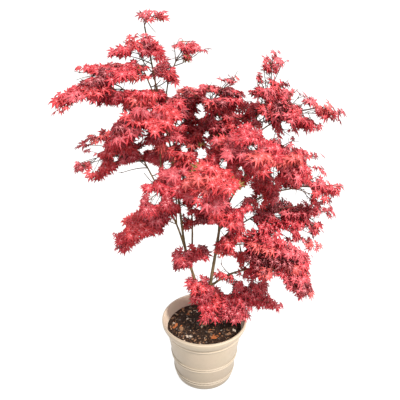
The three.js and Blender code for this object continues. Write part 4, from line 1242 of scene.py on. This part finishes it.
# where the short shoots leave their limbs, written as the masses are
def shootsAlong(limbs, draw):
    zones = {row["limb"]: row["zone"] for row in masses}
    found = []
    for name, limb in limbs.items():
        if name == "trunk":
            continue
        first = shoots["from"].get(name, shoots["fromBough"])
        leafy = shoots["until"].get(name, 1) - first
        count = int(limb.length * leafy / shoots["spacing"])
        for i in range(count):
            share = first + leafy * (i + 0.5) / count
            turn = math.radians(i * shoots["turn"] + shoots["limbTurn"] * len(found))
            rise = between(shoots["rise"], draw())
            side = Vector((math.cos(turn), math.sin(turn), rise)).normalized()
            way = side + limb.wayAt(share) * shoots["ahead"]
            reach = way.normalized() * between(shoots["length"], draw())
            found.append({"limb": name, "zone": zones[name], "share": share, "side": side, "reach": reach,
                          "width": shoots["width"], "thick": shoots["thick"], "bare": shoots["bare"]})
    return found


# the twigs at the edge, written as the masses are; each stays as far back as the place that it leaves
def sprigsAlong(limbs):
    zones = {row["limb"]: row["zone"] for row in masses}
    eye = Vector(camera["eye"])
    found = []
    for name, places in sprigs.items():
        for along, column, row, width, *forward in places:
            foot, way = limbs[name].pointAt(along), rayThrough(column, row)
            reach = eye + way * (foot.y - sum(forward) - eye.y) / way.y - foot
            side = reach.normalized() + up * sprig["rise"]
            wide, thick = (width + leaf["reach"] * share for share in sprig["wider"])
            bare = max(sprig["bare"], 1 - width * sprig["leafy"] / reach.length)
            found.append({"limb": name, "zone": zones[name], "share": along, "side": side, "reach": reach,
                          "width": wide, "thick": thick, "bare": bare, "full": sprig["full"]})
    return found


# each leaf's foot, palm, way ahead, way across and way up
def leafFrames(leaves):
    return [np.array([tuple(entry[k]) for entry in leaves]) for k in range(5)]


# all leaves of one mass, a kind of outline at a time; one that would cover a gap is made smaller or left out
def addLeaves(pile, leaves, shapes):
    for shape, (corners, faces, ribs) in enumerate(shapes):
        own = [entry for entry in leaves if entry[6] == shape]
        if not own:
            continue
        feet, palms, ways, sides, normals = leafFrames(own)
        sizes = np.array([entry[5] for entry in own])
        kinds = np.array([entry[7] for entry in own])
        frames = np.stack([ways, sides, normals], 1)
        spread = np.einsum("vk,nkj->nvj", corners, frames) * sizes[:, None, None]
        placed = palms[:, None] + spread
        clear = np.zeros(len(own), bool)
        for share in leaf["shares"]:
            smaller = palms[:, None] + spread * share
            over = openSky(smaller.reshape(-1, 3)).reshape(len(own), -1).sum(1)
            fits = ~clear & (over <= leaf["over"])
            placed[fits] = smaller[fits]
            clear |= fits
        placed, feet, palms, kinds, sides, normals = (
            each[clear] for each in (placed, feet, palms, kinds, sides, normals))
        number = len(placed)
        steps = np.arange(number)[:, None, None] * len(corners)
        pile.add(placed, faces[None] + steps, np.repeat(kinds, len(faces)))
        pile.faces.append((ribs[None] + steps).reshape(-1, 3) + pile.count - placed.size // 3)
        pile.finishes.append(np.full(number * len(ribs), len(tints)))
        turns = np.linspace(0, 2 * math.pi, 3, endpoint=False)
        spokes = np.einsum("ka,nj->nkj", np.cos(turns)[:, None], sides)
        spokes = spokes + np.einsum("ka,nj->nkj", np.sin(turns)[:, None], normals)
        rings = np.stack([feet[:, None] + spokes * leaf["stalkRadius"] * leaf["stalkFoot"],
                          palms[:, None] + spokes * leaf["stalkRadius"]], 1)
        stalk = ringFaces(2, len(turns))
        stalks = stalk[None] + np.arange(number)[:, None, None] * 2 * len(turns)
        pile.add(rings, stalks, np.repeat(kinds, len(stalk)))


def leafMaterials():
    made = []
    for name, (colour, _) in tints.items():
        look = Finish("leaf_" + name, specular=leaf["specular"])
        look.shader.inputs["Base Color"].default_value = (*colour, 1)
        made.append(look.material)
    # the pale ribs: partly their own colour, partly a painted highlight along each midrib
    rib = Finish("leaf_rib", specular=leaf["specular"])
    rib.shader.inputs["Base Color"].default_value = (*ribColour, 1)
    return [*made, rib.material]


def makeFoliage(limbs):
    draw = makeRandom(leaf["seed"])
    shapes = [leafShape(draw) for _ in range(leaf["shapes"])]
    places = [(point, limb.radiusAt(i / (len(limb.points) - 1)))
              for limb in limbs.values() for i, point in enumerate(limb.points)]
    bark = kdtree.KDTree(len(places))
    for i, (point, _) in enumerate(places):
        bark.insert(point, i)
    bark.balance()
    barkSizes = [radius for _, radius in places]
    materials = leafMaterials()
    twigs = Pile()
    zones = {}
    total = 0
    for index, row in enumerate([*masses, *shootsAlong(limbs, draw), *sprigsAlong(limbs)]):
        leaves = {"all": [], "barkRadii": barkSizes}
        Spray(row, index, limbs, bark, twigs, leaves)
        pile, replaced = zones.setdefault(row["zone"], (Pile(), []))
        addLeaves(pile, leaves["all"], shapes)
        replaced.extend([row["name"]] if "name" in row else [])
        total += len(leaves["all"])
    for zone, (pile, replaced) in zones.items():
        pile.make("leaves_on_" + zone, materials, "leaf", replaced, smooth=False)
    look = Finish("twigBark", *twig["finish"])
    colour = look.ramp(look.noise(*twig["noise"]), twig["shades"])
    material = look.finish(colour, None, look.noise(*twig["grain"]), *twig["relief"])
    twigs.make("twigs_fine", [material], "bark")
    print("grew", total, "leaves, before those that cover a gap were left out")


lighting = {
    "sky": (1.0, 1.0, 1.0),
    "skyStrength": (0.7, 1.45),        # on the left and on the right
    "keyStrength": 3.5,
    "keyColour": (1.0, 0.965, 0.91),
    "keyWay": (-0.58, 0.58, -0.95),    # the way the key light shines
    "keyAngle": 5,
}
# a white sheet that lies under the planter and sweeps up behind it
paper = {
    "front": -5.0,
    "far": 5.0,
    "sweep": 1.6,
    "high": 7.0,
    "half": 9,
    "runs": 24,
    "colour": (0.15, 0.15, 0.15),
    "finish": (0.95, 0.1),
    "glow": 0.93,
}


def makeStage():
    p = paper
    turns = np.linspace(0, math.pi / 2, p["runs"])
    profile = [(p["front"], 0)]
    profile += [(p["far"] + p["sweep"] * math.sin(t), p["sweep"] * (1 - math.cos(t))) for t in turns]
    profile.append((p["far"] + p["sweep"], p["high"]))
    corners = [(x, y, z) for y, z in profile for x in (-p["half"], p["half"])]
    faces = [(2 * i, 2 * i + 1, 2 * i + 3, 2 * i + 2) for i in range(len(profile) - 1)]
    mesh = bpy.data.meshes.new("backdrop")
    mesh.from_pydata(corners, [], faces)
    floor = bpy.data.objects.new("backdrop", mesh)
    bpy.context.scene.collection.objects.link(floor)
    look = Finish("paper", *p["finish"])
    look.shader.inputs["Base Color"].default_value = (*p["colour"], 1)
    look.shader.inputs["Emission Color"].default_value = (1, 1, 1, 1)
    look.shader.inputs["Emission Strength"].default_value = p["glow"]
    mesh.materials.append(look.material)


def makeLights():
    world = bpy.data.worlds.new("studio")
    world.use_nodes = True
    tree = world.node_tree
    sky = tree.nodes["Background"]
    sky.inputs["Color"].default_value = (*lighting["sky"], 1)
    parts, span = tree.nodes.new("ShaderNodeSeparateXYZ"), tree.nodes.new("ShaderNodeMapRange")
    tree.links.new(tree.nodes.new("ShaderNodeTexCoord").outputs["Generated"], parts.inputs[0])
    tree.links.new(parts.outputs["X"], span.inputs["Value"])
    span.inputs["From Min"].default_value = -1
    span.inputs["To Min"].default_value, span.inputs["To Max"].default_value = lighting["skyStrength"]
    tree.links.new(span.outputs[0], sky.inputs["Strength"])
    bpy.context.scene.world = world
    key = bpy.data.lights.new("key", "SUN")
    key.energy = lighting["keyStrength"]
    key.color = lighting["keyColour"]
    key.angle = math.radians(lighting["keyAngle"])
    lamp = bpy.data.objects.new("key", key)
    lamp.rotation_euler = Vector(lighting["keyWay"]).to_track_quat("-Z", "Y").to_euler()
    bpy.context.scene.collection.objects.link(lamp)


def makeCamera():
    data = bpy.data.cameras.new("camera")
    data.lens, data.sensor_width = camera["lens"], camera["sensor"]
    viewer = bpy.data.objects.new("camera", data)
    viewer.location = camera["eye"]
    viewer.rotation_euler = (math.radians(90 - camera["tilt"]), 0, 0)
    bpy.context.scene.collection.objects.link(viewer)
    bpy.context.scene.camera = viewer


makePlanter()
makeSoil()
makeLitter()
limbs = growLimbs()
makeWood(limbs)
makeFoliage(limbs)
makeStage()
makeLights()
makeCamera()
bpy.context.scene.view_settings.view_transform = "Standard"
